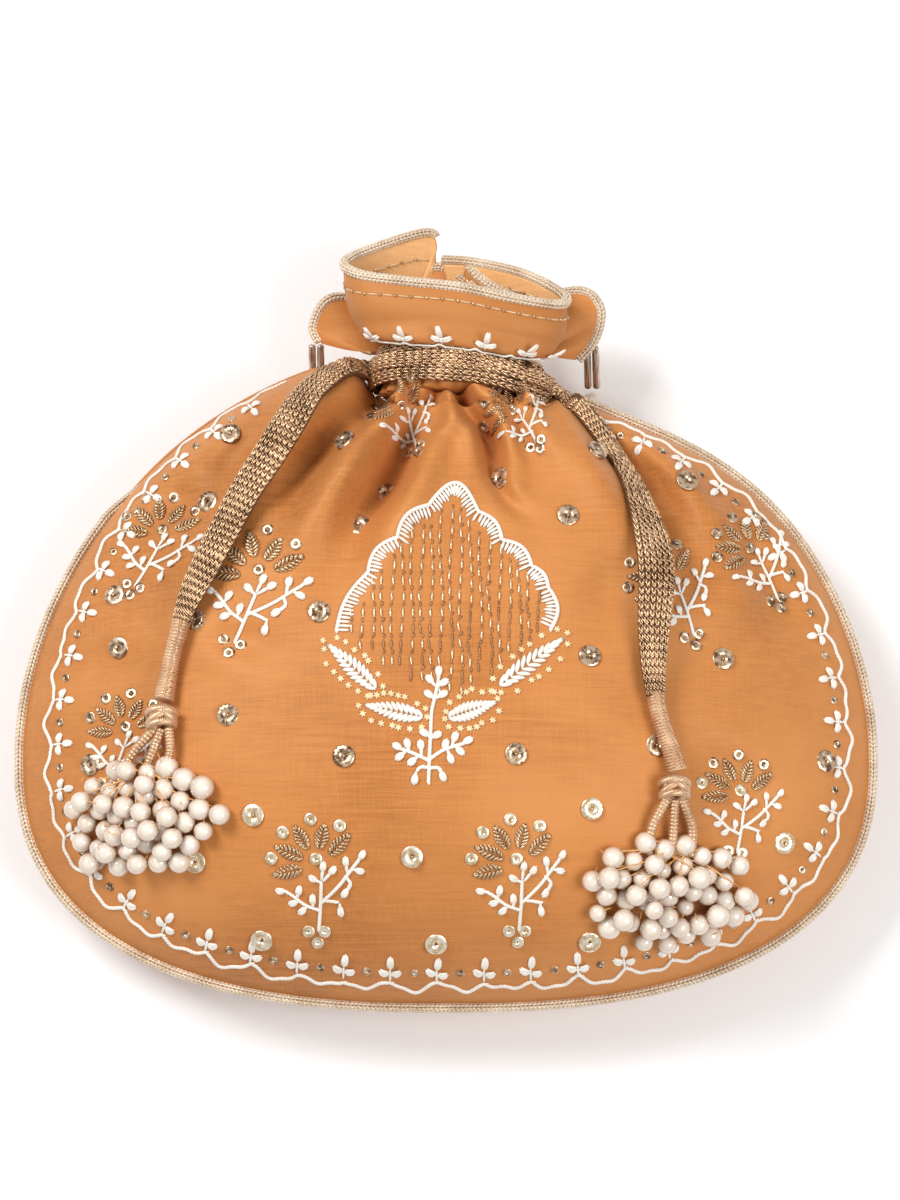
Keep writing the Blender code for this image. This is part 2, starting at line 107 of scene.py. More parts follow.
def buildMesh(name, points, quads, finish, triangles=None, smooth=True):
    points = np.asarray(points, float).reshape(-1, 3)
    quads = np.asarray(quads, int).reshape(-1, 4)
    triangles = np.zeros((0, 3), int) if triangles is None else np.asarray(triangles, int)
    mesh = bpy.data.meshes.new(name)
    mesh.vertices.add(len(points))
    mesh.vertices.foreach_set("co", points.ravel())
    corners = np.concatenate([quads.ravel(), triangles.ravel()])
    starts = np.concatenate([np.arange(len(quads)) * 4, len(quads) * 4 + np.arange(len(triangles)) * 3])
    mesh.loops.add(len(corners))
    mesh.loops.foreach_set("vertex_index", corners)
    mesh.polygons.add(len(starts))
    mesh.polygons.foreach_set("loop_start", starts)
    mesh.update(calc_edges=True)
    mesh.validate()
    if smooth:
        mesh.shade_smooth()
    mesh.materials.append(finish)
    made = bpy.data.objects.new(name, mesh)
    bpy.context.scene.collection.objects.link(made)
    return made


def outward(piece):
    # turns every closed shell of a piece to face out
    body = bmesh.new()
    body.from_mesh(piece.data)
    bmesh.ops.recalc_face_normals(body, faces=body.faces)
    body.to_mesh(piece.data)
    body.free()
    return piece


def frames(path, upHint, closed=False):
    # tangent T, side S = T x hint, up U = S x T at every point of the path
    path = np.asarray(path, float)
    if closed:
        ahead = np.roll(path, -1, 0) - np.roll(path, 1, 0)
    else:
        ahead = np.gradient(path, axis=0)
    ahead = unit(ahead)
    side = unit(np.cross(ahead, np.broadcast_to(upHint, path.shape)))
    return ahead, side, np.cross(side, ahead)


def tubeShape(path, halfWidth, halfDepth, upHint, sides=12, closed=False):
    # p(i, a) = path + S w cos a + U d sin a, a flat or round section carried along the path
    path = np.asarray(path, float)
    _, side, up = frames(path, upHint, closed)
    a = np.linspace(0, 2 * np.pi, sides, endpoint=False)[None, :, None]
    w = np.broadcast_to(halfWidth, len(path))[:, None, None]
    d = np.broadcast_to(halfDepth, len(path))[:, None, None]
    points = path[:, None] + side[:, None] * w * np.cos(a) + up[:, None] * d * np.sin(a)
    quads = gridQuads(len(path), sides, closeRows=closed, closeColumns=True)
    if closed:
        return points.reshape(-1, 3), quads, None
    points = np.vstack([points.reshape(-1, 3), path[:1], path[-1:]])
    return points, quads, capFans(len(path), sides)


def stitchShape(a, b, up, width, rise, sides=6):
    # a stitch runs a -> b: centre = a + (b-a)t + up rise sin(pi t), half section = width/2 sqrt(sin(pi t))
    a, b, up = (np.atleast_2d(np.asarray(v, float)) for v in (a, b, up))
    up = np.broadcast_to(up, a.shape)
    count = len(a)
    t = np.array([0.03, 0.2, 0.5, 0.8, 0.97])
    swell = np.sin(np.pi * t)
    ahead = unit(b - a)
    side = unit(np.cross(ahead, up))
    top = np.cross(side, ahead)
    half = 0.5 * np.broadcast_to(width, count)[:, None, None, None]
    lift = np.broadcast_to(rise, count)[:, None, None]
    middle = a[:, None] + (b - a)[:, None] * t[None, :, None] + top[:, None] * lift * swell[None, :, None]
    turn = np.linspace(0, 2 * np.pi, sides, endpoint=False)
    ring = side[:, None, None] * np.cos(turn)[None, None, :, None]
    ring = ring + top[:, None, None] * 0.75 * np.sin(turn)[None, None, :, None]
    points = middle[:, :, None] + ring * half * np.sqrt(swell)[None, :, None, None]
    each = len(t) * sides
    body = gridQuads(len(t), sides, closeColumns=True)
    near = np.arange(sides)
    capA = np.stack([np.full(sides - 2, 0), near[2:], near[1:-1]], 1)
    capB = np.stack([np.full(sides - 2, 0), near[1:-1], near[2:]], 1) + (len(t) - 1) * sides
    shift = np.arange(count)[:, None, None] * each
    quads = (body[None] + shift).reshape(-1, 4)
    caps = (np.vstack([capA, capB])[None] + shift).reshape(-1, 3)
    return points.reshape(-1, 3), quads, caps


def makeStitches(name, groups, finish, sides=6):
    # many stitches gathered into one mesh; a group is (a, b, up, width, rise)
    a = np.vstack([np.atleast_2d(g[0]) for g in groups])
    b = np.vstack([np.atleast_2d(g[1]) for g in groups])
    up = np.vstack([np.broadcast_to(g[2], np.atleast_2d(g[0]).shape) for g in groups])
    width = np.concatenate([np.broadcast_to(g[3], len(np.atleast_2d(g[0]))) for g in groups])
    rise = np.concatenate([np.broadcast_to(g[4], len(np.atleast_2d(g[0]))) for g in groups])
    points, quads, caps = stitchShape(a, b, up, width, rise, sides)
    return outward(buildMesh(name, points, quads, finish, caps))


def joinShapes(shapes):
    # stacks (points, quads, triangles) shapes into one
    offset, allPoints, allQuads, allTriangles = 0, [], [], []
    for points, quads, triangles in shapes:
        allPoints.append(points)
        allQuads.append(quads + offset)
        if triangles is not None:
            allTriangles.append(triangles + offset)
        offset += len(points)
    triangles = np.vstack(allTriangles) if allTriangles else None
    return np.vstack(allPoints), np.vstack(allQuads), triangles


def finishPiece(piece, slot, *nodes):
    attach(piece, "root")
    if nodes:
        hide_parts(*nodes)
    return piece


def shapePiece(name, shape, finish, slot, *nodes):
    # a finished piece from (points, quads, triangles)
    points, quads, triangles = shape
    return finishPiece(outward(buildMesh(name, points, quads, finish, triangles)), slot, *nodes)


def makeTube(name, path, radius, upHint, finish, sides, slot, *nodes):
    return shapePiece(name, tubeShape(path, radius, radius, upHint, sides), finish, slot, *nodes)


# shader groups and finishes
def newGroup(name, inputs, outputs):
    group = bpy.data.node_groups.new(name, "ShaderNodeTree")
    for label, kind, value in inputs:
        socket = group.interface.new_socket(label, in_out="INPUT", socket_type=kind)
        if value is not None:
            socket.default_value = value
    for label, kind in outputs:
        group.interface.new_socket(label, in_out="OUTPUT", socket_type=kind)
    return group, group.nodes.new("NodeGroupInput"), group.nodes.new("NodeGroupOutput")


def mathNode(tree, operation, a, b):
    node = tree.nodes.new("ShaderNodeMath")
    node.operation = operation
    for socket, value in zip(node.inputs, (a, b)):
        if isinstance(value, (int, float)):
            socket.default_value = value
        else:
            tree.links.new(value, socket)
    return node.outputs[0]


def scaledPlus(tree, value, gain, base):
    return mathNode(tree, "ADD", mathNode(tree, "MULTIPLY", value, gain), base)


def weighted(tree, a, shareA, b, shareB):
    return scaledPlus(tree, a, shareA, mathNode(tree, "MULTIPLY", b, shareB))


def mixColour(tree, factor, a, b):
    node = tree.nodes.new("ShaderNodeMix")
    node.data_type = "RGBA"
    for socket, value in ((node.inputs[0], factor), (node.inputs[6], a), (node.inputs[7], b)):
        if isinstance(value, (int, float)):
            socket.default_value = value
        elif isinstance(value, tuple):
            socket.default_value = (*value, 1.0)
        else:
            tree.links.new(value, socket)
    return node.outputs[2]


def stretchedNoise(tree, vector, scale, stretch, detail=3.0):
    # noise read through a mapping that pulls it out along one axis
    mapping = tree.nodes.new("ShaderNodeMapping")
    mapping.inputs["Scale"].default_value = stretch
    tree.links.new(vector, mapping.inputs["Vector"])
    noise = tree.nodes.new("ShaderNodeTexNoise")
    noise.inputs["Scale"].default_value = scale
    noise.inputs["Detail"].default_value = detail
    tree.links.new(mapping.outputs[0], noise.inputs["Vector"])
    return noise.outputs["Fac"]


def silkWeaveGroup():
    # weft and warp: fine noise drawn out along x and along y; slubs: longer, coarser weft streaks
    group, into, out = newGroup(
        "silkWeave",
        [("Vector", "NodeSocketVector", None), ("Thread Scale", "NodeSocketFloat", 1.0)],
        [("Height", "NodeSocketFloat"), ("Streak", "NodeSocketFloat"), ("Cloud", "NodeSocketFloat")])
    scaled = group.nodes.new("ShaderNodeVectorMath")
    scaled.operation = "SCALE"
    group.links.new(into.outputs["Vector"], scaled.inputs[0])
    group.links.new(into.outputs["Thread Scale"], scaled.inputs["Scale"])
    vector = scaled.outputs[0]
    weft = stretchedNoise(group, vector, 420.0, (0.22, 5.0, 1.0), 2.0)
    warp = stretchedNoise(group, vector, 420.0, (5.0, 0.25, 1.0), 2.0)
    slub = stretchedNoise(group, vector, 90.0, (0.35, 9.0, 3.0), 4.0)
    cloud = stretchedNoise(group, vector, 14.0, (1.0, 1.3, 1.0), 3.0)
    thread = weighted(group, weft, 0.6, warp, 0.4)
    height = scaledPlus(group, slub, 0.5, thread)
    group.links.new(height, out.inputs["Height"])
    streak = weighted(group, slub, 0.35, thread, 0.65)
    group.links.new(streak, out.inputs["Streak"])
    group.links.new(cloud, out.inputs["Cloud"])
    return group


def fineThreadGroup():
    # twisted thread: close diagonal bands with a little grain, for floss, zari and wound thread
    group, into, out = newGroup(
        "fineThread",
        [("Vector", "NodeSocketVector", None), ("Twist Scale", "NodeSocketFloat", 900.0)],
        [("Height", "NodeSocketFloat"), ("Shade", "NodeSocketFloat")])
    wave = group.nodes.new("ShaderNodeTexWave")
    wave.wave_type = "BANDS"
    wave.bands_direction = "DIAGONAL"
    wave.inputs["Distortion"].default_value = 1.5
    wave.inputs["Detail"].default_value = 1.0
    group.links.new(into.outputs["Vector"], wave.inputs["Vector"])
    group.links.new(into.outputs["Twist Scale"], wave.inputs["Scale"])
    grain = stretchedNoise(group, into.outputs["Vector"], 700.0, (1.0, 1.0, 1.0), 2.0)
    height = weighted(group, wave.outputs["Fac"], 0.7, grain, 0.3)
    group.links.new(height, out.inputs["Height"])
    cloud = stretchedNoise(group, into.outputs["Vector"], 120.0, (1.0, 1.0, 1.0), 2.0)
    # Shade is half the twist's height and half cloud: darker in the grooves as painted shade, with random
    # tone from the cloud
    shade = weighted(group, height, 0.5, cloud, 0.5)
    group.links.new(shade, out.inputs["Shade"])
    return group


def startFinish(name):
    made = bpy.data.materials.new(name)
    made.use_nodes = True
    tree = made.node_tree
    shader = tree.nodes["Principled BSDF"]
    place = tree.nodes.new("ShaderNodeTexCoord").outputs["Object"]
    return made, tree, shader, place


def placeGroup(tree, group, vector, **values):
    node = tree.nodes.new("ShaderNodeGroup")
    node.node_tree = group
    tree.links.new(vector, node.inputs["Vector"])
    for label, value in values.items():
        node.inputs[label.replace("_", " ")].default_value = value
    return node


def addBump(tree, shader, height, distance, strength=1.0):
    bump = tree.nodes.new("ShaderNodeBump")
    bump.inputs["Distance"].default_value = distance
    bump.inputs["Strength"].default_value = strength
    tree.links.new(height, bump.inputs["Height"])
    tree.links.new(bump.outputs[0], shader.inputs["Normal"])


def spread(tree, value, low, high):
    # stretches the middle of a noise to the whole 0..1 range
    node = tree.nodes.new("ShaderNodeMapRange")
    node.inputs["From Min"].default_value = low
    node.inputs["From Max"].default_value = high
    tree.links.new(value, node.inputs["Value"])
    return node.outputs[0]


def silkFinish(name, deep, main, pale, weave, roughness=0.60):
    made, tree, shader, place = startFinish(name)
    node = placeGroup(tree, weave, place)
    colour = mixColour(tree, spread(tree, node.outputs["Streak"], 0.36, 0.64), deep, main)
    colour = mixColour(tree, spread(tree, node.outputs["Cloud"], 0.35, 0.75), colour, pale)
    tree.links.new(colour, shader.inputs["Base Color"])
    rough = scaledPlus(tree, node.outputs["Streak"], 0.25, roughness - 0.12)
    tree.links.new(rough, shader.inputs["Roughness"])
    shader.inputs["Specular IOR Level"].default_value = 0.42
    shader.inputs["Specular Tint"].default_value = (1.0, 0.78, 0.55, 1.0)
    shader.inputs["Sheen Weight"].default_value = 0.10
    shader.inputs["Sheen Roughness"].default_value = 0.4
    shader.inputs["Sheen Tint"].default_value = (1.0, 0.74, 0.46, 1.0)
    addBump(tree, shader, node.outputs["Height"], 0.00016, 0.6)
    return made


def threadFinish(name, dark, light, thread, twist=900.0, metallic=0.0, roughness=0.5, depth=0.00008):
    made, tree, shader, place = startFinish(name)
    node = placeGroup(tree, thread, place, Twist_Scale=twist)
    # dark to light by Shade: painted shade in the twist's grooves, mixed with random tone
    colour = mixColour(tree, spread(tree, node.outputs["Shade"], 0.3, 0.7), dark, light)
    tree.links.new(colour, shader.inputs["Base Color"])
    rough = scaledPlus(tree, node.outputs["Shade"], 0.3, roughness - 0.15)
    tree.links.new(rough, shader.inputs["Roughness"])
    shader.inputs["Metallic"].default_value = metallic
    addBump(tree, shader, node.outputs["Height"], depth, 0.6)
    return made


def pearlFinish(name):
    # ivory skin, darkened and warmed towards the rim as painted shade, under a clear coat
    made, tree, shader, place = startFinish(name)
    cloud = stretchedNoise(tree, place, 160.0, (1.0, 1.0, 1.0), 2.0)
    skin = mixColour(tree, spread(tree, cloud, 0.35, 0.65), (0.83, 0.72, 0.59), (0.91, 0.82, 0.71))
    # the rim colour follows how far the surface turns from the view: painted shade at the edge of each pearl
    paintedRimShade = tree.nodes.new("ShaderNodeLayerWeight")
    paintedRimShade.inputs["Blend"].default_value = 0.46
    tree.links.new(mixColour(tree, paintedRimShade.outputs["Facing"], skin, (0.42, 0.22, 0.12)),
                   shader.inputs["Base Color"])
    tree.links.new(scaledPlus(tree, cloud, 0.08, 0.07), shader.inputs["Roughness"])
    shader.inputs["Coat Weight"].default_value = 1.0
    shader.inputs["Coat Roughness"].default_value = 0.06
    shader.inputs["Coat IOR"].default_value = 1.9
    addBump(tree, shader, cloud, 0.00003, 0.3)
    return made


def glassBeadFinish(name):
    # silver-lined brown glass: dark and light bands along the tube
    made, tree, shader, place = startFinish(name)
    streak = stretchedNoise(tree, place, 500.0, (3.0, 0.3, 0.3), 1.0)
    colour = mixColour(tree, spread(tree, streak, 0.35, 0.65), (0.20, 0.11, 0.07), (0.78, 0.62, 0.50))
    tree.links.new(colour, shader.inputs["Base Color"])
    tree.links.new(mathNode(tree, "MULTIPLY", streak, 0.3), shader.inputs["Roughness"])
    shader.inputs["Metallic"].default_value = 0.65
    shader.inputs["Coat Weight"].default_value = 1.0
    return made


silkWeave = silkWeaveGroup()
fineThread = fineThreadGroup()
silk = silkFinish("silk", (0.39, 0.132, 0.032), (0.555, 0.208, 0.053), (0.63, 0.254, 0.074), silkWeave,
                  0.54)
# painted shade: the same silk drawn darker for the front ruffle and its pleat, as if they lay in shade
silkPaintedShade = silkFinish("silkPaintedShade", (0.31, 0.105, 0.026), (0.43, 0.158, 0.040), (0.50, 0.196, 0.056),
                       silkWeave, 0.54)
# painted light: the ruffles' inner faces in the same silk drawn lighter, standing in for the light they catch
silkLiningPaintedLight = silkFinish("silkLiningPaintedLight", (0.58, 0.27, 0.09), (0.74, 0.40, 0.16), (0.84, 0.51, 0.24),
                        silkWeave, 0.46)
braidFinish = threadFinish("goldBraid", (0.50, 0.33, 0.20), (0.95, 0.83, 0.66), fineThread, 1400.0,
                           0.35, 0.34)
knitFinish = threadFinish("knittedMetallic", (0.15, 0.066, 0.025), (0.92, 0.61, 0.36), fineThread,
                          700.0, 0.70, 0.28)
knitShadow = threadFinish("knitShadow", (0.05, 0.020, 0.008), (0.20, 0.09, 0.035), fineThread, 900.0,
                          0.2, 0.6)
woundFinish = threadFinish("woundThread", (0.42, 0.21, 0.10), (0.88, 0.62, 0.40), fineThread, 1200.0,
                           0.6, 0.32)
floss = threadFinish("creamFloss", (0.78, 0.70, 0.60), (0.93, 0.90, 0.84), fineThread, 1600.0, 0.0, 0.62)
zari = threadFinish("antiqueZari", (0.30, 0.15, 0.06), (0.86, 0.64, 0.40), fineThread, 900.0, 0.7, 0.30)
zariBright = threadFinish("brightZari", (0.60, 0.38, 0.20), (0.98, 0.84, 0.62), fineThread, 900.0, 0.6,
                          0.30)
paleZari = threadFinish("paleGoldThread", (0.62, 0.42, 0.20), (0.93, 0.76, 0.48), fineThread, 1600.0,
                        0.4, 0.38)
pearlSkin = pearlFinish("pearl")
bugleGlass = glassBeadFinish("bugleGlass")
print("finishes ready")

# the bag's own surface
bag = dict(
    halfWidth=0.1262, upperLength=0.1242, lowerLength=0.0752, widestY=-0.0405,
    seamZ=0.028, frontRise=0.050, backDepth=0.033,
    neckX=0.004, neckEndY=0.0785, neckFootY=0.038, neckZ=0.040,
    neckHalfWidth=0.0215, neckHalfDepth=0.013, neckFlare=0.034,
    # valleys run down from the neck: points, width, depth, share of the depth at the start, lip beside it
    valleys=[
        ([(-0.0030, 0.0660), (-0.0112, 0.0484), (-0.0178, 0.0344), (-0.0243, 0.0246), (-0.0285, 0.0136),
          (-0.0333, 0.0030),
          (-0.0366, -0.0073)], 0.0036, 0.0062, 0.6, 0.45),
        ([(0.0010, 0.0670), (0.0071, 0.0581), (0.0121, 0.0515), (0.0138, 0.0430), (0.0135, 0.0344),
          (0.0105, 0.0261)],
         0.0021, 0.0078, 0.7, 0.30),
        ([(0.0138, 0.0398), (0.0172, 0.0295), (0.0221, 0.0241), (0.0283, 0.0190)], 0.0016, 0.0018, 0.4,
         0.3),
        ([(-0.0182, 0.0650), (-0.0285, 0.0565), (-0.0375, 0.0449), (-0.0455, 0.0339), (-0.0525, 0.0233),
          (-0.0594, 0.0128)],
         0.0042, 0.0052, 0.8, 0.35),
        ([(0.0350, 0.0690), (0.0449, 0.0558), (0.0553, 0.0426), (0.0633, 0.0296), (0.0698, 0.0171),
          (0.0769, 0.0052),
          (0.0837, -0.0035)], 0.0048, 0.0066, 0.7, 0.40),
        ([(0.0524, 0.0589), (0.0659, 0.0527), (0.0758, 0.0419), (0.0857, 0.0290), (0.0930, 0.0150)],
         0.0036, 0.0034, 0.3, 0.4),
        ([(-0.0092, 0.0680), (-0.0121, 0.0533), (-0.0160, 0.0440)], 0.0015, 0.0030, 1.0, 0.5),
        ([(-0.0018, 0.0690), (-0.0022, 0.0560), (-0.0024, 0.0450)], 0.0013, 0.0024, 1.0, 0.5),
        ([(0.0048, 0.0690), (0.0052, 0.0600), (0.0060, 0.0500)], 0.0013, 0.0026, 1.0, 0.5),
        ([(0.0190, 0.0690), (0.0219, 0.0487), (0.0262, 0.0380)], 0.0017, 0.0034, 1.0, 0.5),
        ([(0.0255, 0.0700), (0.0338, 0.0524), (0.0392, 0.0400)], 0.0020, 0.0034, 1.0, 0.5),
        ([(-0.0152, 0.0690), (-0.0221, 0.0568), (-0.0270, 0.0480)], 0.0017, 0.0032, 1.0, 0.5),
        ([(0.0145, 0.0690), (0.0170, 0.0600), (0.0185, 0.0540)], 0.0012, 0.0026, 1.0, 0.4),
        ([(-0.0500, 0.0560), (-0.0640, 0.0380), (-0.0740, 0.0200), (-0.0800, 0.0040)], 0.0050, 0.0030,
         0.2, 0.4),
        ([(-0.0720, 0.0420), (-0.0880, 0.0200), (-0.0980, -0.0040)], 0.0060, 0.0022, 0.1, 0.4),
        ([(0.0860, 0.0260), (0.0980, 0.0020), (0.1040, -0.0200)], 0.0050, 0.0024, 0.1, 0.4),
        ([(-0.0700, -0.0120), (-0.0540, -0.0150), (-0.0400, -0.0240)], 0.0034, 0.0012, 0.1, 0.3),
        ([(0.0560, 0.0160), (0.0460, -0.0020), (0.0420, -0.0220)], 0.0050, 0.0016, 0.2, 0.3),
        ([(0.0700, -0.0450), (0.0860, -0.0540), (0.0980, -0.0700)], 0.0050, 0.0016, 0.1, 0.3)],
    # long soft waves of the cloth: x, y, direction, spacing, height, reach
    waves=[(-0.070, 0.025, 60, 0.020, 0.0010, 0.030), (0.080, 0.010, -62, 0.022, 0.0012, 0.034),
           (-0.095, -0.020, 80, 0.024, 0.0010, 0.028), (0.030, -0.075, 5, 0.034, 0.0006, 0.045)],
    foldGain=1.95, mapStep=0.0006, mapX=(-0.132, 0.132), mapY=(-0.122, 0.092))


def drawnIn(x):
    shoulder = 0.0105 * np.exp(-((x - 0.049) / 0.045) ** 2)
    gather = 0.019 * np.exp(-((x - bag["neckX"]) / 0.0295) ** 8)
    return (shoulder ** 4 + gather ** 4) ** 0.25


def drawnShare(flatY):
    share = np.clip((flatY - bag["widestY"]) / bag["upperLength"], 0, 1)
    return share * share * (3 - 2 * share)


def outline(angle, scale=1.0):
    # superellipse |x/a|^n + |y/b|^n = scale^n, drawn in at the neck and right shoulder
    across, along = np.cos(angle), np.sin(angle)
    power = np.where(along > 0, 2 / 1.9, 2 / 2.5)
    length = np.where(along > 0, bag["upperLength"], bag["lowerLength"])
    x = scale * bag["halfWidth"] * np.sign(across) * np.abs(across) ** power
    flatY = bag["widestY"] + scale * length * np.sign(along) * np.abs(along) ** power
    return x, flatY - drawnIn(x) * drawnShare(flatY), flatY


def insideScale(x, y):
    # how far out a point lies, 0 in the middle and 1 on the seam
    flatY = np.array(y, float)
    for _ in range(6):
        flatY = y + drawnIn(x) * drawnShare(flatY)
    power = np.where(flatY > bag["widestY"], 1.9, 2.5)
    length = np.where(flatY > bag["widestY"], bag["upperLength"], bag["lowerLength"])
    scale = (np.abs(x / bag["halfWidth"]) ** power + np.abs((flatY - bag["widestY"]) / length) ** power)
    return np.clip(scale ** (1 / power), 0, 1), flatY


def neckSection(y):
    inside = np.clip((bag["neckEndY"] - y) / (bag["neckEndY"] - bag["neckFootY"]), 0, 1)
    halfWidth = bag["neckHalfWidth"] + bag["neckFlare"] * inside ** 2
    return halfWidth, bag["neckHalfDepth"] + 0.004 * inside, bag["neckZ"] - 0.002 * inside


def drawnFolds():
    # depth over a regular map: valley exp(-s^2) less a lip exp(-((s - 2.0)/1.1)^2), s in widths from the line
    gridX = np.arange(*bag["mapX"], bag["mapStep"])
    gridY = np.arange(*bag["mapY"], bag["mapStep"])
    x, y = (v.ravel() for v in np.meshgrid(gridX, gridY))
    total = np.zeros_like(x)
    for points, width, depth, startShare, lip in bag["valleys"]:
        line = smoothPath([(*p, 0) for p in points], 30)[:, :2]
        reach = 5 * width
        low, high = line.min(0) - reach, line.max(0) + reach
        near = np.flatnonzero((x > low[0]) & (x < high[0]) & (y > low[1]) & (y < high[1]))
        gap = np.hypot(x[near, None] - line[None, :, 0], y[near, None] - line[None, :, 1])
        nearest = gap.argmin(1)
        t = nearest / (len(line) - 1)
        across = gap[np.arange(len(near)), nearest] / (width * (1 + 0.9 * t))
        fade = np.clip(startShare + t / 0.22, 0, 1) * np.clip((1 - t) / 0.55, 0, 1) ** 1.3
        section = np.exp(-across ** 2) - lip * np.exp(-((across - 2.0) / 1.1) ** 2)
        total[near] += bag["foldGain"] * depth * fade * section
    for middleX, middleY, direction, spacing, height, reach in bag["waves"]:
        turn = np.radians(direction)
        along = (x - middleX) * np.cos(turn) + (y - middleY) * np.sin(turn)
        near = np.exp(-((x - middleX) ** 2 + (y - middleY) ** 2) / reach ** 2)
        total += height * np.cos(2 * np.pi * along / spacing) * near
    flat = total.reshape(len(gridY), len(gridX))
    for _ in range(2):
        flat = 0.25 * (np.roll(flat, 1, 0) + np.roll(flat, -1, 0)) + 0.5 * flat
        flat = 0.25 * (np.roll(flat, 1, 1) + np.roll(flat, -1, 1)) + 0.5 * flat
    return flat


foldMap = drawnFolds()


def foldDepth(x, y):
    # the map read between its four nearest points
    u = np.clip((x - bag["mapX"][0]) / bag["mapStep"], 0, foldMap.shape[1] - 2.001)
    v = np.clip((y - bag["mapY"][0]) / bag["mapStep"], 0, foldMap.shape[0] - 2.001)
    i, j = u.astype(int), v.astype(int)
    s, t = u - i, v - j
    near = foldMap[j, i] * (1 - s) + foldMap[j, i + 1] * s
    return near * (1 - t) + (foldMap[j + 1, i] * (1 - s) + foldMap[j + 1, i + 1] * s) * t


def bagHeight(x, y):
    # z = seam + rise (1 - s^p)^q joined smoothly to the neck's oval top, less the gathers
    x, y = np.asarray(x, float), np.asarray(y, float)
    scale, flatY = insideScale(x, y)
    full = drawnShare(flatY)
    panel = bag["seamZ"] + bag["frontRise"] * np.clip(1 - scale ** (2.2 + 0.8 * full), 0,
                                                      1) ** (0.8 - 0.2 * full)
    halfWidth, halfDepth, middle = neckSection(y)
    oval = np.clip(1 - ((x - bag["neckX"]) / halfWidth) ** 2, 0, 1)
    neck = middle + halfDepth * np.sqrt(oval) - 0.03 * (oval <= 0) - 0.05 * (y < bag["neckFootY"] - 0.004)
    blend = 0.006 + 0.010 * np.clip((y - 0.030) / 0.030, 0, 1)
    over = np.maximum(panel, neck) + 0.25 * blend * np.clip(1 - np.abs(panel - neck) / blend, 0, 1) ** 2
    edge = np.clip((1 - scale) / 0.12, 0, 1)
    edge = np.where((y > 0.060) & (np.abs(x - bag["neckX"]) < 0.034), 1.0, edge)
    return over - foldDepth(x, y) * edge


def bagPoint(xy, lift=0.0):
    xy = np.asarray(xy, float)
    return np.stack([xy[..., 0], xy[..., 1], bagHeight(xy[..., 0], xy[..., 1]) + lift], -1)


def bagNormal(xy):
    xy = np.asarray(xy, float)
    x, y, step = xy[..., 0], xy[..., 1], 0.0012
    slopeX = (bagHeight(x + step, y) - bagHeight(x - step, y)) / (2 * step)
    slopeY = (bagHeight(x, y + step) - bagHeight(x, y - step)) / (2 * step)
    return unit(np.stack([-slopeX, -slopeY, np.ones_like(slopeX)], -1))


def makePouch():
    turn = np.linspace(0, 2 * np.pi, 380, endpoint=False)
    angle = turn + 0.25 * np.sin(2 * turn)
    front = 1 - (1 - np.linspace(0, 1, 120)[1:]) ** 1.35
    back = np.linspace(1, 0, 44)[1:-1] ** 0.8
    x, y, flatY = outline(angle[None, :], front[:, None])
    z = bagHeight(x, y)
    z[-1] = bag["seamZ"]
    bx, by, _ = outline(angle[None, :], back[:, None])
    flat = np.maximum(0.0, bag["seamZ"] - bag["backDepth"] * (1 - back ** 3) ** 0.8)
    crease = 0.0012 * np.sin(9 * angle[None, :] + 3 * back[:, None]) * np.sin(4 * angle)[None, :] ** 2
    crease = crease * np.clip(flat[:, None] / 0.01, 0, 1) * (1 - back[:, None] ** 6)
    bz = np.broadcast_to(flat[:, None], bx.shape) + crease
    rings = np.concatenate([np.stack([x, y, z], -1), np.stack([bx, by, bz], -1)]).reshape(-1, 3)
    columns = len(angle)
    quads = gridQuads(len(front) + len(back), columns, closeColumns=True)
    poles = np.array([[0, bag["widestY"], float(bagHeight(0.0, bag["widestY"]))], [0, bag["widestY"], 0.0]])
    caps = capFans(len(front) + len(back), columns)
    return shapePiece("pouchCloth", (np.vstack([rings, poles]), quads, caps), silk, "silk", "pouch")


def makeNeckCloth():
    # oval tube r(a) = oval (1 + pleat sin(26 a)), from under the cords to the ruffles
    y = np.linspace(0.0655, 0.0825, 16)
    a = np.linspace(0, 2 * np.pi, 208, endpoint=False)
    halfWidth, halfDepth, middle = neckSection(y)
    pleat = 0.97 + 0.035 * np.sin(26 * a + 1.3 * np.sin(3 * a))
    x = bag["neckX"] + (halfWidth[:, None] - 0.0006) * pleat * np.cos(a)
    z = middle[:, None] + (halfDepth[:, None] - 0.0006) * pleat * np.sin(a)
    points = np.stack([x, np.broadcast_to(y[:, None], x.shape), z], -1).reshape(-1, 3)
    quads = gridQuads(len(y), len(a), closeColumns=True)
    ends = np.array([[bag["neckX"], y[0], middle[0]], [bag["neckX"], y[-1], middle[-1]]])
    caps = capFans(len(y), len(a))
    return shapePiece("neckGathers", (np.vstack([points, ends]), quads, caps), silk, "silk")


addCamera()
pouchCloth = makePouch()
neckCloth = makeNeckCloth()
print("pouch ready")

# drawstrings
# x, y and the half width of the flat knitted cord at each point of its route
cords = dict(
    left=[(-0.0200, 0.0725, 0.0030), (-0.0262, 0.0722, 0.0034), (-0.0330, 0.0690, 0.0044),
          (-0.0395, 0.0622, 0.0050),
          (-0.0445, 0.0534, 0.0050), (-0.0500, 0.0435, 0.0051), (-0.0555, 0.0345, 0.0050),
          (-0.0605, 0.0255, 0.0049),
          (-0.0650, 0.0165, 0.0047), (-0.0692, 0.0080, 0.0043), (-0.0730, 0.0005, 0.0037),
          (-0.0762, -0.0080, 0.0026)],
    right=[(0.0245, 0.0700, 0.0030), (0.0315, 0.0680, 0.0031), (0.0385, 0.0625, 0.0031),
           (0.0450, 0.0540, 0.0032),
           (0.0500, 0.0450, 0.0035), (0.0540, 0.0365, 0.0041), (0.0568, 0.0270, 0.0050),
           (0.0590, 0.0180, 0.0054),
           (0.0603, 0.0090, 0.0055), (0.0602, -0.0010, 0.0051), (0.0594, -0.0120, 0.0045),
           (0.0592, -0.0220, 0.0036),
           (0.0597, -0.0310, 0.0026)],
    halfDepth=0.0014, pitch=0.0023, columns=6, yarn=0.00105)


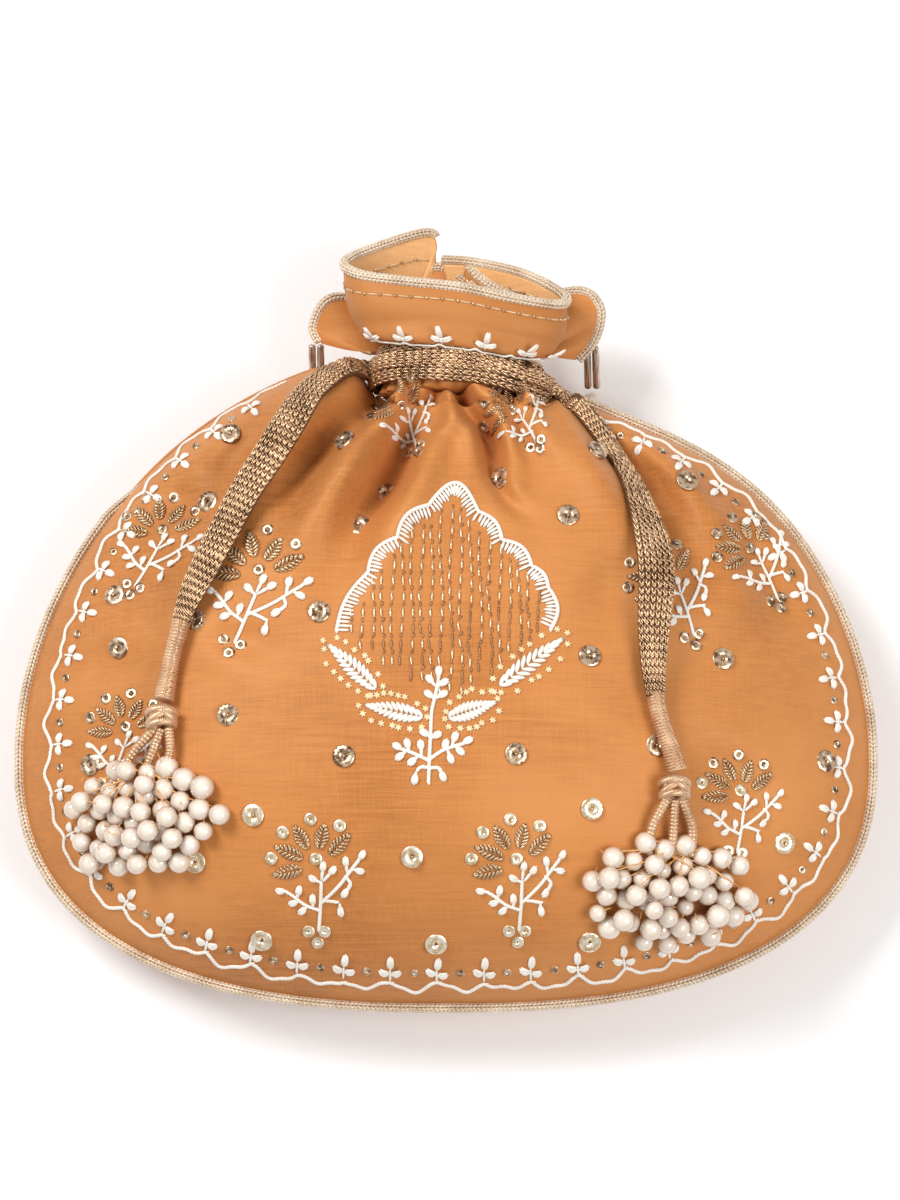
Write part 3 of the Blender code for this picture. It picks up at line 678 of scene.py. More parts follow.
def knitStitches(path, up, halfWidth, halfDepth, pitch, columns, yarn):
    # stockinette: in each column two arms lean in to the next row, on a cushion-shaped section
    _, side, top = frames(path, up)
    along = lengthsAlong(path)
    rows = int(along[-1] / pitch)
    at = (np.arange(rows) + 0.2) * along[-1] / rows
    pick = lambda values, s: readAlong(values, along, s)
    wide = np.broadcast_to(halfWidth, len(path)).reshape(-1, 1)
    groups = []
    for column in range(columns):
        v = (column + 0.5) / columns * 2 - 1
        arm = 0.80 / columns
        for sign in (-1, 1):
            ends = []
            for s, lateral in ((at, v + sign * arm), (at + 1.25 * pitch, v + sign * arm * 0.12)):
                s = np.clip(s, 0, along[-1])
                lateral = np.clip(lateral, -0.98, 0.98)
                crown = halfDepth * np.sqrt(1 - lateral ** 2 * 0.8)
                half = pick(wide, s)
                ends.append(pick(path, s) + pick(side, s) * half * lateral + pick(top, s) * crown)
            shade = pick(top, at) + pick(side, at) * v * 0.6
            thick = yarn * (0.30 + 0.62 * np.ravel(pick(wide, at)) / np.max(wide))
            thick = thick * (1 + 0.18 * np.sin(at * 2900 + column))
            groups.append((ends[0], ends[1], unit(shade), thick, 0.00025))
    return groups


def makeKnitCord(name, route, lift, narrow, *nodes):
    path = smoothPath(route, 90)
    height = bagHeight(path[:, 0], path[:, 1])
    height = np.convolve(np.pad(height, 6, "edge"), np.ones(13) / 13, "valid")
    line = np.column_stack([path[:, :2], np.maximum(height, bagHeight(path[:, 0], path[:, 1])) + lift])
    up = unit(bagNormal(path[:, :2]) + np.array([0, 0, 0.6]))
    half = path[:, 2] * narrow
    core = tubeShape(line, half, cords["halfDepth"] * 0.9, up, 14)
    base = shapePiece(f"{name}Core", core, knitShadow, "knitted_cord", *nodes)
    knit = knitStitches(line, up, half, cords["halfDepth"], cords["pitch"], cords["columns"], cords["yarn"])
    loops = finishPiece(makeStitches(f"{name}Knit", knit, knitFinish), "knitted_cord")
    return base, loops, line


def makeNeckCord(name, y, sway, halfWidth, stand, *nodes):
    # a ring round the neck at y + sway sin(2a + y), its knit as loose as the drawstrings'
    across, depth, middle = neckSection(y)
    a = np.linspace(0, 2 * np.pi, 140, endpoint=False)
    out = unit(np.stack([np.cos(a) / across, 0 * a, np.sin(a) / depth], -1))
    wave = sway * np.sin(2 * a + 900 * y) + 0.35 * sway * np.sin(5 * a + 400 * y) - 0.0026 * np.cos(a)
    ring = np.stack([bag["neckX"] + across * np.cos(a), y + wave, middle + depth * np.sin(a)], -1)
    ring = ring + out * (stand + 0.0005 * np.sin(3 * a + 700 * y))[:, None]
    core = tubeShape(ring, halfWidth, 0.0012, out, 14, closed=True)
    shapePiece(f"{name}Core", core, knitShadow, "knitted_cord", *nodes)
    path = np.vstack([ring, ring[:1]])
    up = np.vstack([out, out[:1]])
    knit = knitStitches(path, up, halfWidth, cords["halfDepth"], 0.0026, 3, cords["yarn"])
    finishPiece(makeStitches(f"{name}Knit", knit, knitFinish), "knitted_cord")


makeNeckCord("neckCordUpper", 0.0748, 0.0007, 0.0027, 0.0019, "neck_cord_upper")
makeNeckCord("neckCordMiddle", 0.0714, -0.0012, 0.0022, 0.0033)
makeNeckCord("neckCordLower", 0.0678, 0.0006, 0.0026, 0.0019, "neck_cord_lower")
leftOver = makeKnitCord("leftCordOver", cords["left"], 0.0048, 1.0, "left_drawstring_over")
leftUnder = makeKnitCord("leftCordUnder", cords["left"], 0.0022, 0.85, "left_drawstring_under")
rightOver = makeKnitCord("rightCordOver", cords["right"], 0.0048, 1.0, "right_drawstring_over")
rightUnder = makeKnitCord("rightCordUnder", cords["right"], 0.0022, 0.85, "right_drawstring_under")
print("drawstrings ready")

# braid piping
piping = dict(radius=0.0012, pitch=0.00125, arm=0.0017, yarn=0.00105)


def braidStitches(path, up, radius):
    # herringbone braid: on each face of the tube two slanting yarns meet at its middle line
    _, side, top = frames(path, up)
    along = lengthsAlong(path)
    count = int(along[-1] / piping["pitch"])
    at = np.linspace(0, along[-1] - piping["pitch"], count)
    read = lambda values, s: readAlong(values, along, s)
    groups = []
    for turn in (0.0, 90.0, 180.0, 270.0):
        for sign in (-1, 1):
            ends = []
            for s, tilt in ((at, turn + sign * 44), (at + piping["arm"], turn + sign * 8)):
                s = np.clip(s, 0, along[-1])
                angle = np.radians(tilt)
                out = read(side, s) * np.sin(angle) + read(top, s) * np.cos(angle)
                ends.append(read(path, s) + out * radius)
            middle = np.radians(turn + sign * 22)
            facing = read(side, at) * np.sin(middle) + read(top, at) * np.cos(middle)
            groups.append((ends[0], ends[1], facing, piping["yarn"], 0.0001))
    return groups


def makeBraid(name, path, up, *nodes):
    makeTube(f"{name}Core", path, piping["radius"] * 0.86, up, woundFinish, 10, "gold_braid", *nodes)
    yarns = makeStitches(name, braidStitches(path, up, piping["radius"]), braidFinish, sides=5)
    finishPiece(yarns, "gold_braid")


def makeSidePiping():
    angle = np.linspace(np.radians(71), np.radians(-251), 620)
    x, y, _ = outline(angle)
    ahead = unit(np.stack([np.gradient(x), np.gradient(y)], 1))
    out = np.stack([-ahead[:, 1], ahead[:, 0]], 1) * 0.0011
    # under the left shoulder the cloth rolls over the seam
    hidden = np.clip((-np.degrees(angle) - 216) / 12, 0, 1)[:, None]
    out = out * (1 - hidden) - out * hidden * 2.6
    path = np.stack([x + out[:, 0], y + out[:, 1], bag["seamZ"] - 0.0045 * hidden[:, 0]], 1)
    makeBraid("sidePiping", path, straightUp, "side_piping")
    # the seam allowance beside the piping shows as a narrow silk cord
    edge = np.stack([x - out[:, 0] * 0.4, y - out[:, 1] * 0.4, bag["seamZ"] - 0.0045 * hidden[:, 0]], 1)
    makeTube("seamAllowance", edge, 0.0009, straightUp, silk, 8, "silk")


makeSidePiping()
print("piping ready")

# ruffled mouth
ruffle = dict(
    frontRim=[(-0.0030, 0.1090, 0.0330), (-0.0045, 0.1165, 0.0345), (-0.0200, 0.1110, 0.0390),
              (-0.0300, 0.1035, 0.0480),
              (-0.0255, 0.0975, 0.0560), (-0.0120, 0.0945, 0.0590), (0.0040, 0.0925, 0.0595),
              (0.0200, 0.0895, 0.0580),
              (0.0330, 0.0890, 0.0530), (0.0350, 0.0935, 0.0470), (0.0240, 0.1010, 0.0430),
              (0.0090, 0.1056, 0.0400),
              (-0.0010, 0.1072, 0.0372)],
    frontFoot=[(-0.0060, 0.0810, 0.0340), (-0.0100, 0.0815, 0.0345), (-0.0165, 0.0822, 0.0370),
               (-0.0215, 0.0828, 0.0420),
               (-0.0190, 0.0826, 0.0480), (-0.0090, 0.0814, 0.0525), (0.0040, 0.0798, 0.0540),
               (0.0170, 0.0782, 0.0520),
               (0.0262, 0.0772, 0.0480), (0.0280, 0.0775, 0.0430), (0.0210, 0.0785, 0.0400),
               (0.0120, 0.0795, 0.0385),
               (0.0040, 0.0800, 0.0370)],
    backRim=[(-0.0375, 0.0840, 0.0300), (-0.0395, 0.0885, 0.0310), (-0.0345, 0.0960, 0.0350),
             (-0.0200, 0.0965, 0.0285),
             (0.0020, 0.0970, 0.0240), (0.0240, 0.0975, 0.0270), (0.0400, 0.0985, 0.0340),
             (0.0455, 0.0945, 0.0350),
             (0.0460, 0.0890, 0.0340), (0.0435, 0.0830, 0.0330), (0.0390, 0.0785, 0.0320)],
    backFoot=[(-0.0225, 0.0796, 0.0345), (-0.0222, 0.0800, 0.0335), (-0.0190, 0.0800, 0.0312),
              (-0.0110, 0.0800, 0.0285),
              (0.0030, 0.0800, 0.0270), (0.0170, 0.0800, 0.0285), (0.0265, 0.0800, 0.0318),
              (0.0285, 0.0800, 0.0335),
              (0.0290, 0.0798, 0.0342), (0.0293, 0.0796, 0.0349), (0.0295, 0.0794, 0.0356)],
    pleatRim=[(0.0060, 0.1060, 0.0385), (0.0110, 0.1000, 0.0400), (0.0200, 0.0940, 0.0430),
              (0.0260, 0.0905, 0.0450)],
    pleatFoot=[(0.0040, 0.0800, 0.0375), (0.0090, 0.0800, 0.0385), (0.0150, 0.0800, 0.0400),
               (0.0180, 0.0800, 0.0410)],
    innerRim=[(-0.0060, 0.1060, 0.0312), (-0.0005, 0.1058, 0.0335), (0.0052, 0.1010, 0.0372),
              (0.0110, 0.0950, 0.0405),
              (0.0165, 0.0905, 0.0425)],
    innerFoot=[(-0.0070, 0.0800, 0.0350), (-0.0010, 0.0800, 0.0360), (0.0030, 0.0800, 0.0375),
               (0.0080, 0.0800, 0.0385),
               (0.0120, 0.0800, 0.0390)],
    puff=0.0036, thickness=0.0011, sprays=(0.335, 0.400, 0.470, 0.545, 0.620, 0.690))


def ruffleSurface(paintedRimShade, foot, columns, rows, puff):
    # p(i, v) = foot + (rim - foot) v + n puff sin(pi v), rippled a little along its length
    top, bottom = smoothPath(paintedRimShade, columns, byStation=True), smoothPath(foot, columns, byStation=True)
    v = np.linspace(0, 1, rows)[:, None, None]
    flat = bottom[None] + (top - bottom)[None] * v
    # the lower part sags over the cords at the front
    isHigh = np.clip((bottom[None, :, 2:] - 0.040) / 0.012, 0, 1) * (puff > 0.002)
    sag = 0.0042 * np.exp(-((v - 0.10) / 0.13) ** 2) * isHigh
    flat = flat - sag * np.array([0.0, 1.0, 0.0]) + sag * np.array([0.0, 0.0, 0.6])
    ahead = unit(np.gradient(top, axis=0))
    out = unit(np.cross(ahead, unit(top - bottom)))
    ripple = 0.0005 * np.sin(np.linspace(0, 22, columns))[None, :, None] * (1 - v) * v * 4
    return flat + out[None] * (puff * np.sin(np.pi * v ** 0.8) + ripple), top, bottom, out


def makeRuffle(name, paintedRimShade, foot, nodes, columns, puff, pipingNodes=(), skipFirst=0, finish=silk):
    grid, top, bottom, out = ruffleSurface(paintedRimShade, foot, columns, 26, puff)
    piece = buildMesh(name, grid.reshape(-1, 3), gridQuads(26, columns), finish)
    # the second slot, on the inner faces, takes the lighter lining silk, which is painted light
    piece.data.materials.append(silkLiningPaintedLight)
    wall = piece.modifiers.new("doubled cloth", "SOLIDIFY")
    wall.thickness = ruffle["thickness"]
    wall.offset = 0.0
    wall.material_offset = 1
    wall.material_offset_rim = 1
    finishPiece(piece, "silk", *nodes)
    path = top[skipFirst:] + unit(top - bottom)[skipFirst:] * 0.0010
    makeBraid(f"{name}Piping", path, out[skipFirst:], *pipingNodes)
    return grid, out


# the front ruffle and the pleat take the darker silk, which is painted shade
frontGrid, frontOut = makeRuffle("ruffleFront", ruffle["frontRim"], ruffle["frontFoot"],
                                 ["ruffle_front"], 200,
                                 ruffle["puff"], ["ruffle_front_piping"], 12, silkPaintedShade)
backGrid, backOut = makeRuffle("ruffleBack", ruffle["backRim"], ruffle["backFoot"], ["ruffle_back"],
                               150, 0.001,
                               ["ruffle_back_piping"])
makeRuffle("rufflePleat", ruffle["pleatRim"], ruffle["pleatFoot"], [], 60, 0.0, finish=silkPaintedShade)
makeRuffle("ruffleInner", ruffle["innerRim"], ruffle["innerFoot"], [], 60, 0.0)


def makeCollarVine():
    # a scalloped vine near the foot of the front ruffle, three buds at each of its points
    rows, columns = frontGrid.shape[:2]
    ahead, upward = unit(np.gradient(frontGrid, axis=1)), unit(np.gradient(frontGrid, axis=0))
    facing = unit(np.cross(upward, ahead))
    outside = np.sign((facing * (frontGrid - frontGrid.mean((0, 1)))).sum(-1).mean())

    def read(values, u, v):
        # the grid read between its four nearest points
        s, t = np.clip(u, 0, 0.999) * (columns - 1), np.clip(v, 0, 0.999) * (rows - 1)
        i, j = s.astype(int), t.astype(int)
        s, t = (s - i)[:, None], (t - j)[:, None]
        near = values[j, i] * (1 - s) + values[j, i + 1] * s
        return near * (1 - t) + (values[j + 1, i] * (1 - s) + values[j + 1, i + 1] * s) * t

    at = np.array(ruffle["sprays"])
    u = np.linspace(at[0] - 0.03, at[-1] + 0.03, 260)
    swing = np.abs(np.sin(np.pi * (u - at[0]) / (at[1] - at[0])))
    v = 0.105 - 0.050 * swing
    face = outside * 0.0010
    line = read(frontGrid, u, v) + read(facing, u, v) * face
    groups = [(line[:-2], line[2:], outside * read(facing, u, v)[1:-1], 0.0009, 0.0001)]
    lows = np.full(len(at), 0.11)
    root = read(frontGrid, at, lows) + read(facing, at, lows) * face
    rise, along, out = read(upward, at, lows), read(ahead, at, lows), outside * read(facing, at, lows)
    lean = np.array([[0.25], [0.05], [-0.15], [0.1], [0.3], [0.15]])
    rise = unit(rise + along * lean)
    groups.append((root, root + rise * 0.0022, out, 0.0010, 0.0002))
    for side, length in ((0.0, 0.0044), (1.0, 0.0034), (-1.0, 0.0034)):
        heading = unit(rise * (1.0 if side == 0 else 0.38) + along * side)
        base = root + rise * (0.0018 if side == 0 else 0.0011)
        for shift in (-0.4, 0.4):
            beside = np.cross(heading, out) * 0.0009 * shift
            groups.append((base + beside, base + beside + heading * length, out, 0.0013, 0.0004))
    finishPiece(makeStitches("collarVine", groups, floss), "silk")


makeCollarVine()


def makeRimStitches():
    # a running stitch a little below the piping, a small knot between stitches
    lane = frontGrid[20]
    along = lengthsAlong(lane)
    at = np.arange(0.002, along[-1] - 0.004, 0.0046)
    read = lambda values, s: readAlong(values, along, s)
    groups, knots = [], []
    for sign in (-1, 1):
        face = sign * 0.0009
        a = read(lane, at) + read(frontOut, at) * face
        b = read(lane, at + 0.0036) + read(frontOut, at) * face
        groups.append((a, b, read(frontOut, at) * sign, 0.0005, 0.0001))
        spot = read(lane, at + 0.0041) + read(frontOut, at) * face
        ahead = unit(b - a) * 0.0005
        knots.append((spot - ahead, spot + ahead, read(frontOut, at) * sign, 0.0011, 0.0002))
    finishPiece(makeStitches("rimRunningStitch", groups, paleZari), "silk")
    finishPiece(makeStitches("rimKnots", knots, zari), "silk")


makeRimStitches()
print("ruffles ready")

# tassels
tassel = dict(
    left=dict(sleeve=[(-0.0762, -0.0078), (-0.0772, -0.0120), (-0.0786, -0.0170), (-0.0798, -0.0230),
                      (-0.0810, -0.0310)],
              knot=(-0.0815, -0.0362), bunch=(-0.0880, -0.0645), pearls=46, spread=(0.0205, 0.0135)),
    right=dict(sleeve=[(0.0598, -0.0300), (0.0604, -0.0345), (0.0620, -0.0400), (0.0640, -0.0455),
                       (0.0658, -0.0520)],
               knot=(0.0650, -0.0572), bunch=(0.0640, -0.0865), pearls=48, spread=(0.0225, 0.0125)),
    sleeveRadius=0.0027, windings=26, pearlRadius=0.0031)


def windingTube(path, radius, windings, up, depth=0.10, sides=18):
    # r(s) = radius (1 - depth |cos(pi n s)|), n turns of thread laid side by side
    s = np.linspace(0, 1, len(path))
    wound = radius * (1 - depth * np.abs(np.cos(np.pi * windings * s)) ** 3)
    return tubeShape(path, wound, wound, up, sides)


def makeSleeve(name, route, node):
    path = smoothPath([(x, y, float(bagHeight(x, y)) + 0.0040) for x, y in route], 260)
    s = np.linspace(0, 1, len(path))
    radius = tassel["sleeveRadius"] * (1.06 - 0.16 * np.sin(np.pi * s) + 0.10 * s)
    shape = windingTube(path, radius, tassel["windings"], straightUp)
    return shapePiece(name, shape, woundFinish, "wound_thread", node)


def makeKnot(name, place, node):
    # six crossing loops of cord, each an oval tipped about x by tip and turned about z by lean
    centre = np.array([*place, float(bagHeight(*place)) + 0.0047])
    t = np.linspace(0, 2 * np.pi, 120, endpoint=False)
    loops = []
    for tip, lean, size, shift in ((70, 0, 1.0, 0.0012), (70, 25, 1.0, -0.0004), (70, -25, 1.0, 0.0004),
                                   (40, 60, 0.86, 0.0), (40, -60, 0.86, 0.0), (75, 5, 0.92, -0.0022)):
        a, b = np.radians(tip), np.radians(lean)
        across, along = np.cos(t) * 0.0038 * size, np.sin(t) * 0.0034 * size
        flat = along * np.cos(a)
        turned = np.stack([across * np.cos(b) - flat * np.sin(b), across * np.sin(b) + flat * np.cos(b),
                           along * np.sin(a)], -1)
        path = turned + centre + np.array([0, shift, 0])
        wound = 0.00125 * (1 - 0.12 * np.abs(np.cos(24 * t)))
        loops.append(tubeShape(path, wound, wound, unit(turned), 10, closed=True))
    return shapePiece(name, joinShapes(loops), woundFinish, "wound_thread", node)


def makeTails(side, spec):
    knot, bunch = np.array(spec["knot"]), np.array(spec["bunch"])
    pieces = []
    for i, lean in enumerate((-0.0062, 0.0004, 0.0062)):
        start = knot + np.array([0.35 * lean, -0.0030])
        end = bunch + np.array([lean, 0.0110])
        middle = 0.5 * (start + end) + np.array([0.25 * lean, 0])
        xy = smoothPath([(*start, 0), (*middle, 0), (*end, 0)], 150)[:, :2]
        s = np.linspace(0, 1, len(xy))
        path = np.column_stack([xy, bagHeight(xy[:, 0], xy[:, 1]) + 0.0034 + 0.0022 * (1 - s)])
        shape = windingTube(path, 0.00150 - 0.0002 * s, 15, straightUp, 0.16, 14)
        node = f"{side}_tassel_tail_{i + 1}"
        pieces.append(shapePiece(f"{side}Tail{i + 1}", shape, woundFinish, "wound_thread", node))
    return pieces


def pearlPlaces(spec, draw):
    # sunflower spiral squeezed to the bunch, then pushed apart until no two pearls share space
    count, radius = spec["pearls"], tassel["pearlRadius"]
    k = np.arange(count) + 0.5
    turn = k * np.pi * (3 - np.sqrt(5))
    reach = np.sqrt(k / count)
    xy = np.stack([np.cos(turn), np.sin(turn)], 1) * reach[:, None] * np.array(spec["spread"])
    xy += np.array(spec["bunch"])
    xy += draw.normal(0, 0.0008, xy.shape)
    layer = (draw.random(count) > 0.5) & (reach < 0.85)
    steep = bagNormal(xy)[:, 2]
    places = np.column_stack([xy, bagHeight(xy[:, 0], xy[:, 1]) + radius / steep + layer * 1.5 * radius])
    for _ in range(80):
        gap = places[:, None] - places[None]
        far = np.linalg.norm(gap, axis=2) + np.eye(count)
        push = np.clip(2.02 * radius - far, 0, None) * (1 - np.eye(count))
        places += 0.35 * (gap / far[..., None] * push[..., None]).sum(1)
        floorZ = bagHeight(places[:, 0], places[:, 1]) + radius / bagNormal(places[:, :2])[:, 2]
        places[:, 2] = np.maximum(places[:, 2] - 0.00006, floorZ)
    return places


def ballShape(places, radius, draw, rings=9, columns=14):
    # p = place + r (sin a cos b, sin a sin b, cos a), each ball turned its own way
    a = np.linspace(0, np.pi, rings + 2)[1:-1]
    b = np.linspace(0, 2 * np.pi, columns, endpoint=False)
    ball = np.stack([np.sin(a)[:, None] * np.cos(b), np.sin(a)[:, None] * np.sin(b),
                     np.broadcast_to(np.cos(a)[:, None], (rings, columns))], -1).reshape(-1, 3)
    ball = np.vstack([ball, [[0, 0, 1], [0, 0, -1]]])
    size = radius * (1 + draw.normal(0, 0.07, len(places)))
    points = places[:, None] + ball[None] * size[:, None, None]
    quads = gridQuads(rings, columns, closeColumns=True)
    caps = capFans(rings, columns)[:, ::-1]
    shift = np.arange(len(places))[:, None, None] * len(ball)
    return points.reshape(-1, 3), (quads[None] + shift).reshape(-1, 4), (caps[None] + shift).reshape(-1, 3)


def makeBunch(side, spec, draw):
    places = pearlPlaces(spec, draw)
    middle = np.array(spec["bunch"])
    corner = (places[:, 0] > middle[0]) * 1 + (places[:, 1] < middle[1]) * 2
    pieces = []
    for i in range(4):
        balls = ballShape(places[corner == i], tassel["pearlRadius"], draw, 11, 18)
        pieces.append(shapePiece(f"{side}Pearls{i + 1}", balls, pearlSkin, "pearl",
                                 f"{side}_pearls_{i + 1}"))
    # stringing thread from the tails into the pearls, with short loose ends
    upper = places[places[:, 1] > middle[1] - 0.004]
    rootX = middle[0] + draw.uniform(-0.006, 0.006, len(upper))
    root = np.column_stack([rootX, np.full(len(upper), middle[1] + 0.0125)])
    start = bagPoint(root, 0.0038)
    groups = [(start, upper + np.array([0, 0.0016, 0.0012]), straightUp, 0.0005, 0.0008)]
    loose = places + draw.normal(0, 0.0012, places.shape)
    aside, up = draw.normal(0, 0.002, len(loose)), draw.uniform(0.0005, 0.004, len(loose))
    end = loose + np.column_stack([aside, up, np.full(len(loose), 0.0016)])
    groups.append((loose, end, straightUp, 0.00035, 0.0006))
    pieces.append(finishPiece(makeStitches(f"{side}PearlThreads", groups, stringThread), "wound_thread"))
    return pieces


stringThread = threadFinish("stringingThread", (0.62, 0.26, 0.07), (0.90, 0.52, 0.20), fineThread,
                            1200.0, 0.1, 0.5)
tasselPieces = {}
for side in ("left", "right"):
    spec = tassel[side]
    parts = [makeSleeve(f"{side}Sleeve", spec["sleeve"], f"{side}_cord_sleeve")]
    parts.append(makeKnot(f"{side}Knot", spec["knot"], f"{side}_tassel_knot"))
    parts += makeTails(side, spec)
    parts += makeBunch(side, spec, np.random.default_rng(11 if side == "left" else 12))
    tasselPieces[side] = parts
print("tassels ready")

# bead handle
handle = dict(
    route=[(-0.0398, 0.0755, 0.0140), (-0.0405, 0.0725, 0.0075), (-0.0435, 0.0670, 0.0028),
           (-0.0500, 0.0600, 0.0016),
           (-0.0560, 0.0540, 0.0016), (-0.0500, 0.0480, 0.0016), (-0.0360, 0.0490, 0.0016),
           (-0.0180, 0.0540, 0.0016),
           (0.0020, 0.0560, 0.0016), (0.0200, 0.0530, 0.0016), (0.0360, 0.0480, 0.0016),
           (0.0520, 0.0450, 0.0016),
           (0.0600, 0.0490, 0.0016), (0.0560, 0.0550, 0.0018), (0.0500, 0.0610, 0.0040),
           (0.0465, 0.0650, 0.0090)],
    thread=0.0006, bugle=0.0074, bugleRadius=0.00115, gap=0.0042, smallPearl=0.00155, endPearl=0.0027,
    # the bugles beside the ruffle: foot, run to the tip, and each one's shift sideways
    left=((-0.0398, 0.0773, 0.0160), (0.0, 0.0085, 0.0055), (-0.0013, 0.0013)),
    right=((0.0448, 0.0728, 0.0180), (-0.0006, 0.0115, 0.0080), (-0.0012, 0.0014)),
    endPlace=(0.0448, 0.0700, 0.0140))


def bugleShape(a, b, radius, up):
    # a glass tube with softly rounded ends
    s = np.array([0.0, 0.02, 0.06, 0.5, 0.94, 0.98, 1.0])
    path = a + (b - a) * s[:, None]
    section = radius * np.array([0.55, 0.86, 1.0, 1.0, 1.0, 0.86, 0.55])
    return tubeShape(path, section, section, up, 14)


def makeHandle():
    path = smoothPath(handle["route"], 200)
    strand = makeTube("handleThread", path, handle["thread"], np.array([0.3, 0.2, 1.0]), woundFinish, 8,
                      "handle_thread", "handle_strand")
    along = lengthsAlong(path)
    step = handle["bugle"] + handle["gap"]
    starts = np.arange(0.001, along[-1] - step, step)
    read = lambda s: readAlong(path, along, s)
    up, radius = np.array([0.2, 0.1, 1.0]), handle["bugleRadius"]
    tubes = joinShapes([bugleShape(read(s), read(s + handle["bugle"]), radius, up) for s in starts])
    beads = [shapePiece("handleBugles", tubes, bugleGlass, "glass_bead")]
    middles = read(starts + handle["bugle"] + handle["gap"] / 2)
    small = ballShape(middles, handle["smallPearl"], np.random.default_rng(3), 7, 12)
    beads.append(shapePiece("handlePearls", small, pearlSkin, "pearl"))
    for side in ("left", "right"):
        foot, run, shifts = handle[side]
        for i, shift in enumerate(shifts):
            a = np.array(foot) + np.array([shift, 0.0, 0.0])
            shape = bugleShape(a, a + np.array(run), radius, up)
            node = f"handle_bugle_{side}_{i + 1}"
            beads.append(shapePiece(f"{side}Bugle{i + 1}", shape, bugleGlass, "glass_bead", node))
    ball = ballShape(np.array([handle["endPlace"]]), handle["endPearl"], np.random.default_rng(4), 11, 18)
    beads.append(shapePiece("rightHandlePearl", ball, pearlSkin, "pearl", "handle_pearl_right"))
    return strand, path, beads


handleStrand, handlePath, handleBeads = makeHandle()
print("handle ready")

# embroidery on the front panel: a stitch lies between two places on the cloth
def onCloth(a, b, width, rise, lift=0.0002):
    # a stitch group whose two ends lie on the cloth
    a, b = np.atleast_2d(a), np.atleast_2d(b)
    normal = bagNormal(0.5 * (a + b))
    return (bagPoint(a, lift), bagPoint(b, lift), normal, width, rise)


def arcPlaces(path, spacing):
    # points and headings at even steps along a path on the cloth
    path = np.asarray(path, float)
    along = lengthsAlong(bagPoint(path))
    at = np.arange(0.0, along[-1], spacing)
    near = 0.0008
    ahead = readAlong(path, along, at + near) - readAlong(path, along, at - near)
    return readAlong(path, along, at)[:, :2], unit(ahead[:, :2])


def sideways(ahead):
    return np.stack([-ahead[:, 1], ahead[:, 0]], 1)


def stemStitch(path, width, pitch=0.0011, length=0.0021):
    # slanting stitches that overlap like a rope along the line
    xy, ahead = arcPlaces(path, pitch)
    across = sideways(ahead) * width * 0.22
    return onCloth(xy - ahead * length / 2 - across, xy + ahead * length / 2 + across, width, 0.00015)


def satinLeaf(base, tip, width, pairs, yarn, slant=0.16):
    # fishbone: at share s of the midrib two stitches slant out to an edge at w sin(pi s^0.8)
    base, tip = np.array(base), np.array(tip)
    spine = tip - base
    across = np.array([-spine[1], spine[0]]) / np.linalg.norm(spine)
    s = (np.arange(pairs) + 0.3) / pairs
    edge = 0.5 * width * np.sin(np.pi * np.clip(s + 0.12, 0, 1) ** 0.8)
    middle = base + spine * s[:, None]
    out = base + spine * np.clip(s + slant, 0, 1)[:, None]
    groups = [onCloth(middle, out + across * edge[:, None] * sign, yarn, 0.00030) for sign in (-1, 1)]
    groups.append(onCloth([base + spine * 0.86], [tip], yarn * 1.1, 0.0002))
    return groups


def bud(places, heading, length, width):
    # a plump bud of three stitches side by side
    places, heading = np.atleast_2d(places), unit(np.atleast_2d(heading))
    across = sideways(heading) * width * 0.26
    groups = []
    for shift, share in ((-1, 0.90), (1, 0.90), (0, 1.0)):
        a = places + across * shift * 0.8 + heading * length * 0.12 * abs(shift)
        b = places + heading * length * share + across * shift * 0.9
        groups.append(onCloth(a, b, width * 0.62, 0.00045))
    return groups


def turned(vectors, degrees):
    angle = np.radians(degrees)
    turn = np.array([[np.cos(angle), np.sin(angle)], [-np.sin(angle), np.cos(angle)]])
    return np.asarray(vectors) @ turn


border = dict(pitch=0.0136, scallop=0.0019, cord=0.00125, budLength=0.0038, budWidth=0.0021)
borderSequins = []
whiteStitches, zariStitches, paleStitches, darkStitches, crossStitches = [], [], [], [], []


def addBorder():
    # vine at 0.926 + 0.034 max(0, sin a) + 0.006 cos a of the outline, scalloped out by |sin(pi s / pitch)|
    angle = np.linspace(np.radians(66), np.radians(-246), 1500)
    rolled = np.clip((-np.degrees(angle) - 205) / 25, 0, 1)
    x, y, _ = outline(angle, 0.926 + 0.034 * np.clip(np.sin(angle), 0,
                                                     1) + 0.006 * np.cos(angle) + 0.020 * rolled)
    line = np.stack([x, y], 1)
    along = lengthsAlong(bagPoint(line))
    count = round(along[-1] / border["pitch"])
    phase = along / along[-1] * count
    ahead = unit(np.gradient(line, axis=0))
    inward = -sideways(ahead)
    sway = 0.0005 * np.sin(0.73 * phase * 2 * np.pi) + 0.0003 * np.sin(1.9 * phase * 2 * np.pi)
    scallop = border["scallop"] * np.abs(np.sin(np.pi * phase))
    vine = line + inward * sway[:, None] - inward * scallop[:, None]
    whiteStitches.append(stemStitch(vine, border["cord"]))
    at = np.searchsorted(phase, np.arange(1, count))
    spot, point = line[at], inward[at]
    jitter = rng.normal(0, 6, len(at))
    whiteStitches.append(onCloth(spot, spot + point * 0.0034, 0.0009, 0.0002))
    for lean, length, foot in ((0, 1.0, 0.0030), (78, 0.95, 0.0020), (-78, 0.95, 0.0020)):
        heading = np.stack([turned(p, lean + j) for p, j in zip(point, jitter)])
        whiteStitches.extend(bud(spot + point * foot, heading, border["budLength"] * length,
                                 border["budWidth"]))
    middle = np.searchsorted(phase, np.arange(0.5, count - 0.5))
    knots = line[middle] + inward[middle] * 0.0026
    borderSequins.extend(knots)


